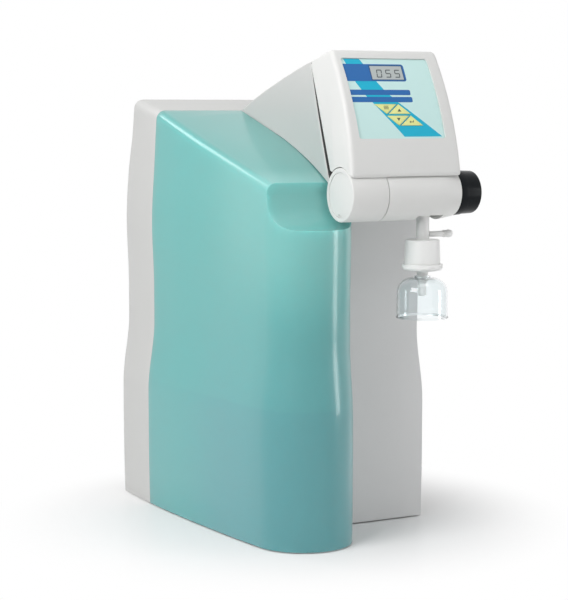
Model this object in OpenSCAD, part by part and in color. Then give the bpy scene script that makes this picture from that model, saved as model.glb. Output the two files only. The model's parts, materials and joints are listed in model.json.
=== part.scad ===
// Bench water purifier with a side tank, a display head and a dispensing arm.
// Millimetres, +Z up, the front faces -Y. Inside this file x runs from the casing's centre plane,
// y from the casing's back face and z from the bench; place() moves all to the part's origin.

/* [Casing] */
// Greatest width of the casing
body_w = 270; // [262:1:280]
// Height of the casing at its back edge
back_h = 492.6; // [480:0.2:510]
// Distance from the back face to the seam between rear shell and tank
seam_depth = 88; // [80:1:96]
// Distance from the back face to the recessed front panel
panel_depth = 298; // [292:1:304]
// Wall of the moulded covers
wall = 2.5; // [2:0.1:3]
// Radius of the casing's side walls in plan
side_r = 2350; // [2300:10:2450]
// Radius of the rear corners
rear_corner_r = 12; // [8:1:16]
// Radius of the rounded top edge at the rear shell
edge_r = 12; // [8:1:14]
// Gap at the seams between covers
seam_gap = 0.4; // [0.3:0.05:0.6]
// Height of the covers' lower edge above the bench
skirt_h = 1.5; // [1:0.1:2]

/* [Side profile] */
// How far the wall steps in above the bulge
waist_in = 8.6; // [6:0.1:10]
// Height at which the step begins
waist_low = 140; // [130:1:150]
// Height at which the step ends
waist_high = 225; // [215:1:235]
// How far the upper belly swells out again
belly_out = 2.2; // [1:0.1:3]
// Height at which the belly begins
belly_low = 265; // [255:1:275]
// Height over which the belly swells and ends
belly_span = 160; // [150:1:170]
// Height from which the wall leans in towards the top
lean_low = 330; // [320:1:340]
// Lean of the upper wall, in millimetres at 100 mm above its start
lean_in = 2.5; // [1.5:0.1:3]
// How far the foot is drawn in at the bench
foot_in = 1.2; // [0.8:0.1:2]
// Height over which the foot is drawn in
foot_h = 80; // [60:1:100]

/* [Tank] */
// Drop of the rear shell's top from the back edge to the seam
shell_drop = 15.1; // [12:0.1:18]
// Slope of the tank's top, in degrees
tank_slope = 16.57; // [14:0.01:18]
// Wall of the tank
tank_wall = 3; // [2.5:0.1:4]
// Distance from the casing's centre plane to the middle of the nose
nose_off = 61; // [58:1:64]
// Distance from the back face to the centre of the nose's left round
nose_depth = 343.5; // [340:0.5:348]
// Distance from the casing's centre plane to the tank's right wall
tank_right_off = 7.3; // [6:0.1:9]
// Radius of the scoop round the arm
scoop_r = 37; // [34:0.5:38]
// Fall of the scoop's floor towards the front, in degrees
scoop_fall = 6; // [3:0.5:9]

/* [Neck] */
// Distance from the casing's centre plane to the neck's left wall at its back
neck_left_off = 7; // [6:0.1:8]
// Width of the neck at its back
neck_back_w = 126; // [122:1:128]
// Radius of the neck's concave left side
neck_left_r = 635; // [620:5:650]
// Radius of the neck's concave right side
neck_right_r = 887; // [860:1:910]
// Distance from the back face to where the neck's sides begin to curve
neck_curve_depth = 150; // [145:1:155]
// Radius of the neck's top
neck_top_r = 650; // [620:10:700]
// Width of the groove between neck and head
groove_w = 3; // [2:0.5:4]
// Lean of the head's back and of the groove, in degrees
head_lean = 20.6; // [18:0.1:23]

/* [Head] */
// Width of the head
head_w = 136; // [130:1:140]
// Distance from the casing's centre plane to the head's left side
head_left_off = 41; // [40:0.5:43]
// Radius of the head's curved face
face_r = 300.5; // [290:0.5:320]
// Radius of the rounding at the head's sides
head_edge_r = 5; // [3:0.5:7]
// Width of the foil
foil_w = 109; // [100:1:112]
// Depth of the foil's pocket in the face
pocket_depth = 1.2; // [0.8:0.1:1.5]
// Thickness of the foil
foil_t = 0.6; // [0.4:0.1:0.8]
// Travel of a key
key_travel = 0.4; // [0.3:0.05:0.5]
// Gap round a key
key_gap = 0.35; // [0.3:0.05:0.5]

/* [Arm] */
// Distance from the back face to the arm's axis
arm_depth = 389; // [387:0.5:391]
// Height of the arm's axis
arm_h = 387; // [386:0.5:389]
// Radius of the arm's sleeves
arm_r = 29.3; // [28.5:0.1:30]
// Radius of the right sleeve at the knob
arm_end_r = 26; // [25.5:0.1:27.5]
// Length of the left sleeve
left_sleeve_l = 45; // [42:0.2:48]
// Length of the right sleeve
right_sleeve_l = 95; // [92:0.2:98]
// Length of the knob
knob_l = 28; // [25:0.2:31]
// Radius of the knob at its inner end
knob_r = 25.6; // [24:0.1:26]
// Radius of the valve stem
stem_r = 4; // [3.5:0.1:4.5]
// Radial running clearance of stem and other turning pieces
run_gap = 0.05; // [0.03:0.01:0.09]
// Distance from the casing's centre plane to the outlet's axis
outlet_off = 64.5; // [63:0.5:66]

/* [Filter] */
// Radius of the outlet tube
tube_r = 7.2; // [7:0.1:8]
// Drop from the arm's axis to the capsule's top
capsule_drop = 51; // [49:0.5:53]
// Radius of the capsule at its lower end
capsule_r = 20; // [19:0.1:22]
// Height of the capsule with its flange
capsule_l = 35; // [33:0.5:37]
// Radius of the capsule's weld flange
flange_r = 22.6; // [22:0.1:24]
// Radius of the filling bell
bell_r = 28.2; // [26:0.1:30]
// Height of the bell
bell_l = 45; // [42:0.5:48]
// Wall of the bell
bell_wall = 1.5; // [1.2:0.1:2]

/* [Base] */
// Thickness of the base plate
base_t = 3; // [2.5:0.1:4]
// Height of the feet
foot_gap = 3; // [2.5:0.1:4]
// Radius of a foot
foot_r = 10; // [8:0.5:12]
// How far the rear connections reach out of the back
rear_reach = 14; // [12:0.5:16]

/* [Inside] */
// Radius of a purification cartridge
cartridge_r = 32; // [28:0.5:34]
// Length of a purification cartridge
cartridge_l = 260; // [240:1:280]
// Radius of the UV reactor tube
uv_r = 17; // [14:0.5:19]
// Radius of the pump motor
motor_r = 27; // [24:0.5:28]
// Radius of the level rod
rod_r = 4; // [3.5:0.1:4.5]
// Radius of the level float
float_r = 20; // [16:0.5:22]

/* [Hidden] */

$fn = 64;
half_w = body_w / 2;
seam_y = -seam_depth;
panel_y = -panel_depth;
top_seam_z = back_h - shell_drop;
arm_y = -arm_depth;
head_left = -head_left_off;
head_right = head_left + head_w;
neck_left = -neck_left_off;
neck_right = neck_left + neck_back_w;
tank_right = -tank_right_off;
// clearance that lets one cutting solid pass through a face
over = 1;
far = 400;
base_top = foot_gap + base_t;
inner_floor = base_top + seam_gap;

// side walls: both are arcs of side_r that bulge most at wall_y
wall_y = -70;
wall_cx = side_r - half_w;
nose_x = -nose_off;
nose_y = -nose_depth;
nose_left_r = side_r - norm([wall_cx - nose_x, wall_y - nose_y]);
nose_front = nose_y - nose_left_r;
nose_right_r = tank_right - nose_x;
nose_join = atan2(wall_y - nose_y, wall_cx - nose_x);

// head profile in the y-z plane
face_cy = -115.2;
face_cz = arm_h - 6.9;
face_low = 9.1;
face_high = 31.8;
curl_r = 25;
brow_r = 8;
heel_r = 5.5;
brow_fall = 13.5;
groove_top = [-318.5, arm_h + 144];
foil_low = 13.25;
foil_high = 30.8;
foil_left = head_left + 11.2;
foil_mid = foil_left + foil_w / 2;

arm_left = head_left;
sleeve_seam = arm_left + left_sleeve_l;
arm_right = sleeve_seam + right_sleeve_l;
knob_left = arm_right + seam_gap;
knob_right = knob_left + knob_l;
sleeve_wall = wall;
arm_front_y = arm_y - arm_r;

origin = [0, (arm_front_y + rear_reach) / 2, 0];

function clamp01(t) = min(1, max(0, t));
function smooth(t) = let(c = clamp01(t)) c * c * (3 - 2 * c);
function span(a, b, n) = [for (i = [0 : n - 1]) a + (b - a) * i / (n - 1)];

// how far the side walls lie inside their widest line at height z
function wave(z) = foot_in * pow(max(0, 1 - z / foot_h), 2)
    + waist_in * smooth((z - waist_low) / (waist_high - waist_low))
    - belly_out * pow(sin(180 * clamp01((z - belly_low) / belly_span)), 2)
    + lean_in * pow(max(0, z - lean_low) / 100, 2);

// height of the top: a gentle fall over the rear shell, a steeper one over tank and deck
function shell_top(y) = top_seam_z + (y - seam_y) * shell_drop / seam_depth;
function deck_top(y) = top_seam_z + (y - seam_y) * tan(tank_slope);

// a point of an outline: station = [centre x, centre y, radius, angle, share of wave, top radius]
function dir(a) = [-cos(a), -sin(a)];
function outline_point(s, inset) = [s[0], s[1]] + (s[2] - inset) * dir(s[3]);

// rings of a moulded cover: the wavy wall up to its rounded top edge, which ends on a plane
function cover_rings(stations, low, inset, sloped, levels = 20, rounds = 5) = [
    for (k = [0 : levels]) [for (s = stations)
        let(r = max(0.5, s[5] - inset),
            rim = top_at(outline_point(s, inset)[1], sloped) - inset - r,
            z = low + (rim - low) * k / levels,
            p = outline_point(s, inset + s[4] * wave(z)))
        [p[0], p[1], z]],
    for (m = [1 : rounds]) [for (s = stations)
        let(r = max(0.5, s[5] - inset),
            a = 90 * m / rounds,
            rim = top_at(outline_point(s, inset)[1], sloped) - inset - r,
            p = outline_point(s, inset + s[4] * wave(rim) + r * (1 - cos(a))))
        [p[0], p[1], top_at(p[1], sloped) - inset - r * (1 - sin(a))]]];
function top_at(y, sloped) = sloped ? deck_top(y) : shell_top(y);

// a solid through rings of equal, even count whose first and second half face each other
module loft(rings) {
    n = len(rings[0]);
    last = (len(rings) - 1) * n;
    half = n / 2;
    polyhedron(
        points = [for (ring = rings) each ring],
        faces = [
            for (k = [0 : len(rings) - 2], i = [0 : n - 1])
                let(j = (i + 1) % n, a = k * n + i, b = k * n + j)
                each [[a, a + n, b + n], [a, b + n, b]],
            for (i = [0 : half - 2])
                each [[i, i + 1, n - 2 - i], [i, n - 2 - i, n - 1 - i],
                    [last + i, last + n - 2 - i, last + i + 1],
                    [last + i, last + n - 1 - i, last + n - 2 - i]]],
        convexity = 6);
}

// plan stations, counter-clockwise seen from above
function wall_angle(y) = asin((wall_y - y) / side_r);
function tank_stations(inset) = [
    for (a = span(wall_angle(seam_y - inset - seam_gap), nose_join * 0.9, 5))
        [wall_cx, wall_y, side_r, a, 1, edge_r],
    for (a = span(nose_join, 90, 9))
        [nose_x, nose_y, nose_left_r, a, 1, edge_r],
    for (a = span(100, 180, 9))
        [nose_x, nose_front + nose_right_r, nose_right_r, a, 1 - sin(a - 90), 1],
    for (t = span(0.2, 1, 5))
        [nose_x, (nose_front + nose_right_r) * (1 - t) + (seam_y - inset - seam_gap) * t,
            nose_right_r, 180, 0, 1]];

function shell_stations(front_y) = [
    for (a = span(wall_angle(front_y), wall_angle(-rear_corner_r), 4))
        [-wall_cx, wall_y, side_r, 180 - a, 1, edge_r],
    for (a = span(180 - wall_angle(-rear_corner_r) + 12, 270, 6))
        [corner_x(), -rear_corner_r, rear_corner_r, a, abs(cos(a)), edge_r],
    for (a = span(270, 360 + wall_angle(-rear_corner_r) - 12, 6))
        [-corner_x(), -rear_corner_r, rear_corner_r, a, abs(cos(a)), edge_r],
    for (a = span(wall_angle(-rear_corner_r), wall_angle(front_y), 4))
        [wall_cx, wall_y, side_r, a, 1, edge_r]];
function corner_x() = half_w - rear_corner_r - side_r * (1 - cos(wall_angle(-rear_corner_r)));

function deck_stations(front_y, back_y, left_x) = [
    for (a = span(wall_angle(front_y), wall_angle(back_y), 6))
        [-wall_cx, wall_y, side_r, 180 - a, 1, edge_r],
    for (y = span(back_y, front_y, 6))
        [left_x + 10, y, 10, 0, 0, 1]];

// a solid that runs along x, drawn as its outline in the y-z plane
module along_x(x0, x1) {
    translate([x0, 0, 0])
        rotate([90, 0, 90])
            linear_extrude(x1 - x0) children();
}

// a cylinder or cone on the arm's axis
module arm_rod(x0, x1, r0, r1 = -1) {
    translate([x0, arm_y, arm_h])
        rotate([0, 90, 0])
            cylinder(h = x1 - x0, r1 = r0, r2 = r1 < 0 ? r0 : r1);
}

module upright(x, y, z0, z1, r) {
    translate([x, y, z0])
        cylinder(h = z1 - z0, r = r);
}

module block(low, high) {
    translate(low)
        cube(high - low);
}

module place() {
    translate(-origin)
        children();
}

// --- base ------------------------------------------------------------------------------

base_inset = 6;

module base_outline(grow) {
    tank_plan = [for (s = tank_stations(base_inset - grow))
        outline_point(s, base_inset - grow + s[4] * wave(0))];
    union() {
        polygon(tank_plan);
        polygon([[tank_plan[0][0] + grow, seam_y + 20], [-half_w + base_inset + 4 - grow, -base_inset + grow],
            [half_w - base_inset - 4 + grow, -base_inset + grow],
            [half_w - base_inset - 4 + grow, seam_y],
            [half_w - base_inset - 14 + grow, panel_y + base_inset],
            [tank_right - 20, panel_y + base_inset], [tank_right - 20, seam_y - 20],
            [tank_plan[0][0] + grow, seam_y - 20]]);
    }
}

module base_plate() {
    color("dimgray")
        place()
            translate([0, 0, foot_gap])
                linear_extrude(base_t) base_outline(0);
}

foot_places = [[-half_w + 40, -40], [half_w - 40, -40], [half_w - 48, panel_y + 40], [nose_x, nose_y - 10],
    [nose_x, -190]];

module feet() {
    color("black")
        place()
            for (p = foot_places)
                upright(p[0], p[1], 0, foot_gap, foot_r);
}

// --- covers ----------------------------------------------------------------------------

inlet_x = 70;
inlet_z = 70;
inlet_w = 31;
inlet_hgt = 24;
switch_x = 30;
switch_w = 22;
switch_hgt = 30;
feed_x = -60;
feed_z = 60;
feed_r = 13.2;
drain_x = -25;
drain_r = 6;

module rear_shell() {
    color("whitesmoke")
        place()
            difference() {
                loft(cover_rings(shell_stations(seam_y), skirt_h, 0, false));
                loft(cover_rings(shell_stations(seam_y - 2 * over), skirt_h - over, wall, false));
                block([inlet_x - inlet_w / 2, -10, inlet_z - inlet_hgt / 2],
                    [inlet_x + inlet_w / 2, 10, inlet_z + inlet_hgt / 2]);
                block([switch_x - switch_w / 2, -10, inlet_z - switch_hgt / 2],
                    [switch_x + switch_w / 2, 10, inlet_z + switch_hgt / 2]);
                translate([feed_x, over, feed_z])
                    rotate([90, 0, 0])
                        cylinder(h = 10, r = feed_r + seam_gap);
                translate([drain_x, over, feed_z])
                    rotate([90, 0, 0])
                        cylinder(h = 10, r = drain_r + seam_gap);
            }
}

// the scoop: a round channel on the arm's axis whose floor runs out to the front
module scoop(grow) {
    r = scoop_r + grow;
    along_x(-half_w - 10, tank_right + 10)
        union() {
            translate([arm_y, arm_h])
                circle(r);
            polygon([[arm_y, arm_h - r], [arm_y - 60, arm_h - r - 60 * tan(scoop_fall)],
                [arm_y - 60, back_h], [arm_y + r, back_h], [arm_y + r, arm_h], [arm_y, arm_h]]);
        }
}

module tank() {
    color([0.49, 0.77, 0.75, 0.8])
        place()
            difference() {
                difference() {
                    loft(cover_rings(tank_stations(0), skirt_h, 0, true));
                    scoop(0);
                }
                difference() {
                    loft(cover_rings(tank_stations(tank_wall), inner_floor + tank_wall, tank_wall, true));
                    scoop(tank_wall);
                }
                translate([0, 0, skirt_h - over])
                    linear_extrude(inner_floor - skirt_h + over) base_outline(seam_gap);
            }
}

// the wavy right edge of the casing at depth y
function right_wall_x(y, z) = -wall_cx + (side_r - wave(z)) * cos(wall_angle(y));

module front_panel() {
    top = deck_top(panel_y) - wall - seam_gap;
    color("gainsboro")
        place()
            translate([0, panel_y + wall, 0])
                rotate([90, 0, 0])
                    linear_extrude(wall)
                        polygon([[tank_right + seam_gap, skirt_h],
                            for (z = span(skirt_h, top, 40)) [right_wall_x(panel_y, z), z],
                            [tank_right + seam_gap, top]]);
}

module right_cover() {
    left_x = tank_right + seam_gap;
    front_y = panel_y + wall + seam_gap;
    back_y = seam_y - seam_gap;
    color("whitesmoke")
        place()
            difference() {
                loft(cover_rings(deck_stations(front_y, back_y, left_x), skirt_h, 0, true));
                loft(cover_rings(deck_stations(front_y - 20, back_y + 20, left_x - 20), skirt_h - over,
                    wall, true));
                block([outlet_off - 15, -245, 350], [outlet_off + 15, -200, back_h]);
            }
}

// --- neck ------------------------------------------------------------------------------

// the groove's line leans; u runs down it and v away from the neck towards the head
function groove_point(u, v) = groove_top
    + u * [-sin(head_lean), -cos(head_lean)] + v * [-cos(head_lean), sin(head_lean)];

function arc_centre(p, q, r) = let(m = (p + q) / 2, d = q - p, h = sqrt(r * r - d * d / 4))
    m + h * [-d[1], d[0]] / norm(d);

module neck_profile(inset) {
    start = [seam_y, top_seam_z + over];
    c = arc_centre(start, groove_point(0, 0), neck_top_r);
    low = inset > 0 ? -20 : seam_gap;
    front = -groove_w / 2 - inset;
    intersection() {
        translate(c)
            circle(neck_top_r - inset, $fn = 180);
        polygon([[seam_y - inset, deck_top(seam_y) + low], groove_point(141 - low, front),
            groove_point(-60, front), [seam_y - inset, back_h + 150]]);
    }
}

module neck_solid(inset) {
    curve_y = -neck_curve_depth;
    difference() {
        along_x(head_left - 5, neck_right - inset)
            neck_profile(inset);
        translate([neck_left - neck_left_r, curve_y, 0])
            cylinder(h = far * 2, r = neck_left_r + inset, $fn = 180);
        block([head_left - 60, curve_y, 0], [neck_left + inset, 10, far * 2]);
        difference() {
            block([neck_right - 60, panel_y - neck_curve_depth, 0], [neck_right + over, curve_y, far * 2]);
            translate([neck_right - neck_right_r, curve_y, -over])
                cylinder(h = far * 2 + 2 * over, r = neck_right_r - inset, $fn = 180);
        }
    }
}

module neck_cover() {
    color("gainsboro")
        place()
            difference() {
                neck_solid(0);
                neck_solid(wall);
                collar_bar(seam_gap, -10, 10);
                arm_rod(head_left - 10, neck_right + 10, arm_r + seam_gap);
            }
}

// a bar that bridges the groove, from v0 to v1 across it
collar_x0 = -24;
collar_x1 = 88;
collar_top = 12;
collar_low = 118;

module collar_bar(grow, v0, v1) {
    along_x(collar_x0 - grow, collar_x1 + grow)
        polygon([groove_point(collar_top - grow, v0), groove_point(collar_low + grow, v0),
            groove_point(collar_low + grow, v1), groove_point(collar_top - grow, v1)]);
}

// --- head ------------------------------------------------------------------------------

function face_point(a, r = face_r) = [face_cy, face_cz] + r * [-cos(a), sin(a)];

// stations of the head's profile: [centre y, centre z, radius, angle above -y]
curl_c = face_point(face_low, face_r - curl_r);
brow_c = face_point(face_high, face_r - brow_r);
back_angle = 180 + head_lean;
heel_c = groove_point(heel_r + 2, groove_w / 2 + heel_r);
sole_c = groove_point(126, groove_w / 2 + heel_r);

function head_stations() = [
    for (a = span(-40, face_low, 5)) [curl_c[0], curl_c[1], curl_r, a],
    for (a = span(face_low + 2, face_high - 2, 8)) [face_cy, face_cz, face_r, a],
    for (a = span(face_high, 90 + brow_fall, 6)) [brow_c[0], brow_c[1], brow_r, a],
    for (a = span(90 + brow_fall, back_angle, 5)) [heel_c[0], heel_c[1], heel_r, a],
    for (a = span(back_angle, 270, 4)) [sole_c[0], sole_c[1], heel_r, a]];

function head_ring(x, inset) = [for (s = head_stations())
    [x, s[0] - (s[2] - inset) * cos(s[3]), s[1] + (s[2] - inset) * sin(s[3])]];

module head_solid(inset) {
    r = max(1, head_edge_r - inset);
    ends = span(0, 90, 5);
    loft([
        for (a = ends) head_ring(head_right - inset - r * (1 - cos(a)), inset + r * (1 - sin(a))),
        for (a = ends) head_ring(head_left + inset + r * (1 - sin(a)), inset + r * (1 - cos(a)))]);
}

// a sheet on the curved face between two radii, from angle a0 to a1 and from x0 to x1
module face_sheet(x0, x1, a0, a1, r0, r1) {
    translate([x0, face_cy, face_cz])
        rotate([90, 0, 90])
            rotate([0, 0, 180 - a1])
                translate([0, 0, 0])
                    rotate_sheet(x1 - x0, a1 - a0, r0, r1);
}

module rotate_sheet(w, sweep, r0, r1) {
    rotate_extrude(angle = sweep, $fn = 180)
        translate([r0, 0])
            square([r1 - r0, w]);
}

// the hollow in the head's underside that clears the arm
module saddle() {
    r = arm_r + seam_gap + 0.1;
    along_x(head_left - 10, head_right + 10)
        polygon([for (a = [0 : 9 : 351]) [arm_y, arm_h] + r * [cos(a), sin(a)]]);
}

module head_cover() {
    pocket_r = face_r - pocket_depth;
    color("whitesmoke")
        place()
            difference() {
                head_solid(0);
                head_solid(wall);
                face_sheet(foil_left, foil_left + foil_w, foil_low, foil_high, pocket_r, face_r + 5);
                saddle();
                face_sheet(lcd_x - lcd_w / 2, lcd_x + lcd_w / 2, lcd_low, lcd_high, pocket_r - 2 * wall, face_r);
                for (k = [0 : 3])
                    key_prism(k, pocket_r - 2 * wall, face_r, key_gap);
                collar_bar(seam_gap, -10, 10);
                upright(outlet_off, arm_y, arm_h, arm_h + 40, line_r + 0.3);
            }
}

// --- foil, display and keys -------------------------------------------------------------

lcd_x = 22;
lcd_w = 41;
lcd_low = 25.9;
lcd_high = 29.1;

// keys: [middle x, middle angle, points up?]; key_in is the radius of the circle inside the triangle
key_side = 27;
key_b = key_side / 2;
key_h = 0.8 * key_b;
key_in = key_b * key_h / (key_b + norm([key_b, key_h]));
key_places = [[11.5, 19.3, false], [27.5, 19.3, true], [25, 16.8, false], [41, 16.8, true]];

module key_prism(k, r0, r1, grow) {
    p = key_places[k];
    tip = p[2] ? 1 : -1;
    mid = key_h / 2 - key_in;
    k_s = 1 + grow / key_in;
    base = tip * (mid + k_s * key_in);
    translate([p[0], face_cy, face_cz])
        rotate([-p[1], 0, 0])
            translate([0, -r1, 0])
                rotate([-90, 0, 0])
                    linear_extrude(r1 - r0)
                        polygon([[-key_b * k_s, base], [key_b * k_s, base],
                            [0, tip * (mid - k_s * (key_h - key_in))]]);
}

module display_foil() {
    pocket_r = face_r - pocket_depth;
    color([0.75, 0.9, 0.89])
        place()
            difference() {
                face_sheet(foil_left + 0.3, foil_left + foil_w - 0.3, foil_low + 0.06, foil_high - 0.06,
                    pocket_r, pocket_r + foil_t);
                for (k = [0 : 3])
                    key_prism(k, pocket_r - 2, face_r, key_gap);
                face_sheet(lcd_x - lcd_w / 2, lcd_x + lcd_w / 2, lcd_low, lcd_high, pocket_r - 2, face_r);
            }
}

module lcd_module() {
    pocket_r = face_r - pocket_depth;
    color("slategray")
        place()
            face_sheet(lcd_x - lcd_w / 2 + seam_gap, lcd_x + lcd_w / 2 - seam_gap, lcd_low + 0.08, lcd_high - 0.08,
                pocket_r - 2 * wall, pocket_r);
}

module key_pad(k) {
    pocket_r = face_r - pocket_depth;
    color("khaki")
        place()
            key_prism(k, pocket_r - wall - 1.5, pocket_r + foil_t + 0.3, 0);
}

module key_1() key_pad(0);
module key_2() key_pad(1);
module key_3() key_pad(2);
module key_4() key_pad(3);

// the board lies flat behind the face; the switch domes stand on it under the keys
module head_board() {
    r = face_r - pocket_depth - wall - 1.5 - key_travel;
    board_a = (foil_low + foil_high) / 2;
    color("seagreen")
        place()
            union() {
                translate([foil_mid, face_cy, face_cz])
                    rotate([-board_a, 0, 0])
                        translate([-foil_w / 2 + 3, -r + 6, -38])
                            cube([foil_w - 6, 1.6, 76]);
                for (p = key_places)
                    translate([p[0], face_cy, face_cz])
                        rotate([-p[1], 0, 0])
                            translate([0, -r, 0])
                                rotate([-90, 0, 0])
                                    cylinder(h = 7, r = 4);
            }
}

// a rectangular sleeve that bridges the groove
module neck_collar() {
    color("darkgray")
        place()
            difference() {
                collar_bar(0, -6, 6);
                collar_bar(-wall, -7, 7);
            }
}

// --- arm -------------------------------------------------------------------------------

cap_r = 24;
knob_end_r = 23.6;
knob_round = 3;
cap_t = 4;
slot_x0 = outlet_off - 18;
slot_x1 = outlet_off + 18;
slot_half = 10;

module arm_left_sleeve() {
    color("white")
        place()
            difference() {
                arm_rod(arm_left, sleeve_seam - seam_gap / 2, arm_r);
                arm_rod(arm_left + cap_t + 2, sleeve_seam + over, arm_r - sleeve_wall);
                arm_rod(arm_left - over, arm_left + cap_t, cap_r + 0.15);
                arm_rod(arm_left - over, arm_left + cap_t + 3, cap_r - 3);
            }
}

module arm_end_cap() {
    color("white")
        place()
            difference() {
                arm_rod(arm_left + 0.6, arm_left + cap_t - 0.1, cap_r);
                translate([arm_left - over, arm_y, arm_h - cap_r + 1.1])
                    cube([3, 9, 2.4], center = true);
            }
}

module arm_right_sleeve() {
    taper_x = outlet_off + 16;
    color("gainsboro")
        place()
            difference() {
                union() {
                    arm_rod(sleeve_seam + seam_gap / 2, taper_x, arm_r);
                    arm_rod(taper_x, arm_right, arm_r, arm_end_r);
                }
                arm_rod(sleeve_seam - over, taper_x, arm_r - sleeve_wall);
                arm_rod(taper_x - 0.01, arm_right - 4, arm_r - sleeve_wall, arm_end_r - sleeve_wall);
                arm_rod(arm_right - 5, arm_right + over, stem_r + 4);
                block([slot_x0, arm_y - slot_half, arm_h - arm_r - over], [slot_x1, arm_y + slot_half, arm_h - 15]);
                upright(outlet_off, arm_y, arm_h + 20, arm_h + 35, line_r + 0.3);
            }
}

// tube with discs that seat in both sleeves, and a web up to the collar
module arm_core() {
    disc_r = arm_r - sleeve_wall - 0.15;
    color("silver")
        place()
            difference() {
                union() {
                    arm_rod(arm_left + 12, valve_x0 - 0.3, 13);
                    arm_rod(arm_left + 12, arm_left + 16, disc_r);
                    arm_rod(sleeve_seam - 5, sleeve_seam + 5, disc_r);
                }
                arm_rod(arm_left + 11, valve_x0, 10);
            }
}

valve_x0 = outlet_off - 16;
valve_x1 = arm_right - 8;

module valve_body() {
    color("lightsteelblue")
        place()
            difference() {
                union() {
                    arm_rod(valve_x0, valve_x1, 14);
                    arm_rod(valve_x1 - 6, valve_x1, arm_end_r - sleeve_wall - 1);
                    upright(outlet_off, arm_y, arm_h - 24, arm_h, tube_r + 2);
                }
                arm_rod(outlet_off + 12, valve_x1 + over, stem_r + run_gap);
                upright(outlet_off, arm_y, arm_h - 25, arm_h - 12, tube_r + 0.1);
                upright(outlet_off, arm_y, arm_h - 12.5, arm_h + 9, 3);
                upright(outlet_off, arm_y, arm_h + 8, arm_h + 15, line_r + 0.1);
            }
}

module valve_stem() {
    color("silver")
        place()
            arm_rod(outlet_off + 13, knob_right - 6, stem_r);
}

module knob() {
    color([0.07, 0.08, 0.09])
        place()
            difference() {
                translate([knob_left, arm_y, arm_h])
                    rotate([0, 90, 0])
                        rotate_extrude($fn = 96)
                            difference() {
                                union() {
                                    polygon([[0, 0], [knob_r, 0], [knob_r - 0.7, 10], [knob_r - 1.2, 10.4],
                                        [knob_end_r, knob_l - knob_round], [0, knob_l - knob_round]]);
                                    translate([knob_end_r - knob_round, knob_l - knob_round])
                                        circle(knob_round);
                                    translate([0, knob_l - knob_round - over])
                                        square([knob_end_r - knob_round, knob_round + over]);
                                }
                                translate([-10, -over])
                                    square([10, knob_l * 2]);
                            }
                arm_rod(knob_left - over, knob_right - 5.9, stem_r + 0.02);
            }
}

// --- outlet and filter --------------------------------------------------------------------

capsule_top_h = arm_h - capsule_drop;
vent_h = capsule_top_h + 5.5;
vent_x1 = outlet_off + 30.5;
flange_z = capsule_top_h - capsule_l;

module outlet_tube() {
    color("white")
        place()
            difference() {
                union() {
                    upright(outlet_off, arm_y, capsule_top_h, arm_h - 13, tube_r);
                    translate([outlet_off, arm_y, vent_h])
                        rotate([0, 90, 0])
                            cylinder(h = vent_x1 - outlet_off, r = 3.2);
                }
                upright(outlet_off, arm_y, capsule_top_h - over, arm_h - 12, 4);
                translate([outlet_off, arm_y, vent_h])
                    rotate([0, 90, 0])
                        cylinder(h = vent_x1 - outlet_off + over, r = 1.5);
            }
}

module vent_screw() {
    color("white")
        place()
            difference() {
                union() {
                    translate([vent_x1 + 3.4, arm_y, vent_h])
                        sphere(4.6);
                    translate([vent_x1 - 4, arm_y, vent_h])
                        rotate([0, 90, 0])
                            cylinder(h = 6, r = 4);
                }
                translate([vent_x1 - 8, arm_y, vent_h])
                    rotate([0, 90, 0])
                        cylinder(h = 8.2, r = 3.2 + run_gap);
            }
}

module lathe(points) {
    translate([outlet_off, arm_y, 0])
        rotate_extrude($fn = 96)
            polygon(points);
}

module filter_capsule() {
    low = flange_z + 8;
    color("white")
        place()
            lathe([[4, low], [capsule_r, low], [capsule_r - 1.6, capsule_top_h - 3],
                [capsule_r - 2.4, capsule_top_h - 0.8], [capsule_r - 4, capsule_top_h],
                [4, capsule_top_h]]);
}

module filter_flange() {
    high = flange_z + 8;
    color("white")
        place()
            lathe([[4, flange_z], [14, flange_z], [18, flange_z + 0.8], [flange_r - 3, flange_z + 1.6],
                [flange_r - 1.4, flange_z + 3], [flange_r, flange_z + 4], [flange_r, high - 0.6],
                [flange_r - 0.6, high], [4, high]]);
}

stub_z = flange_z - 27.5;

module filter_outlet() {
    color("white")
        place()
            lathe([[3, stub_z], [4.2, stub_z], [4.6, stub_z + 2], [4.6, flange_z - 11], [6.2, flange_z - 9.5],
                [6.2, flange_z - 7], [5.4, flange_z - 6.5], [5.4, flange_z - 4], [6.4, flange_z - 3.5],
                [6.4, flange_z], [3, flange_z]]);
}

bell_top = flange_z - 7;
bell_low = bell_top - bell_l;
dome_r = 17;

module bell() {
    color([0.9, 0.93, 0.94, 0.35])
        place()
            translate([outlet_off, arm_y, 0])
                rotate_extrude($fn = 96)
                    difference() {
                        intersection() {
                            union() {
                                bell_half(0);
                                translate([bell_r, bell_low + 0.9])
                                    circle(0.9, $fn = 24);
                                translate([0, bell_top - 6])
                                    square([9, 6 + 2]);
                            }
                            translate([0, bell_low])
                                square([bell_r + 5, bell_l + 10]);
                        }
                        bell_half(bell_wall);
                        square([6.3, far]);
                    }
}

// half of the bell's section: straight side and rounded shoulder
module bell_half(inset) {
    r = bell_r - inset;
    shoulder = dome_r - inset;
    high = bell_top - inset;
    union() {
        translate([0, bell_low - (inset > 0 ? over : 0)])
            square([r, bell_l - dome_r + (inset > 0 ? over : 0)]);
        translate([r - shoulder, high - shoulder])
            intersection() {
                circle(shoulder, $fn = 96);
                square(shoulder + 1);
            }
        translate([0, high - shoulder - 0.01])
            square([r - shoulder + 0.01, shoulder]);
    }
}

// --- inside ----------------------------------------------------------------------------

frame_x = tank_right + 3;
frame_t = 2;

module chassis_wall() {
    color("silver")
        place()
            along_x(frame_x, frame_x + frame_t)
                polygon([[-8, base_top], [-8, 430], [seam_y, 430], [panel_y + 8, deck_top(panel_y) - 30],
                    [panel_y + 8, base_top]]);
}

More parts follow.
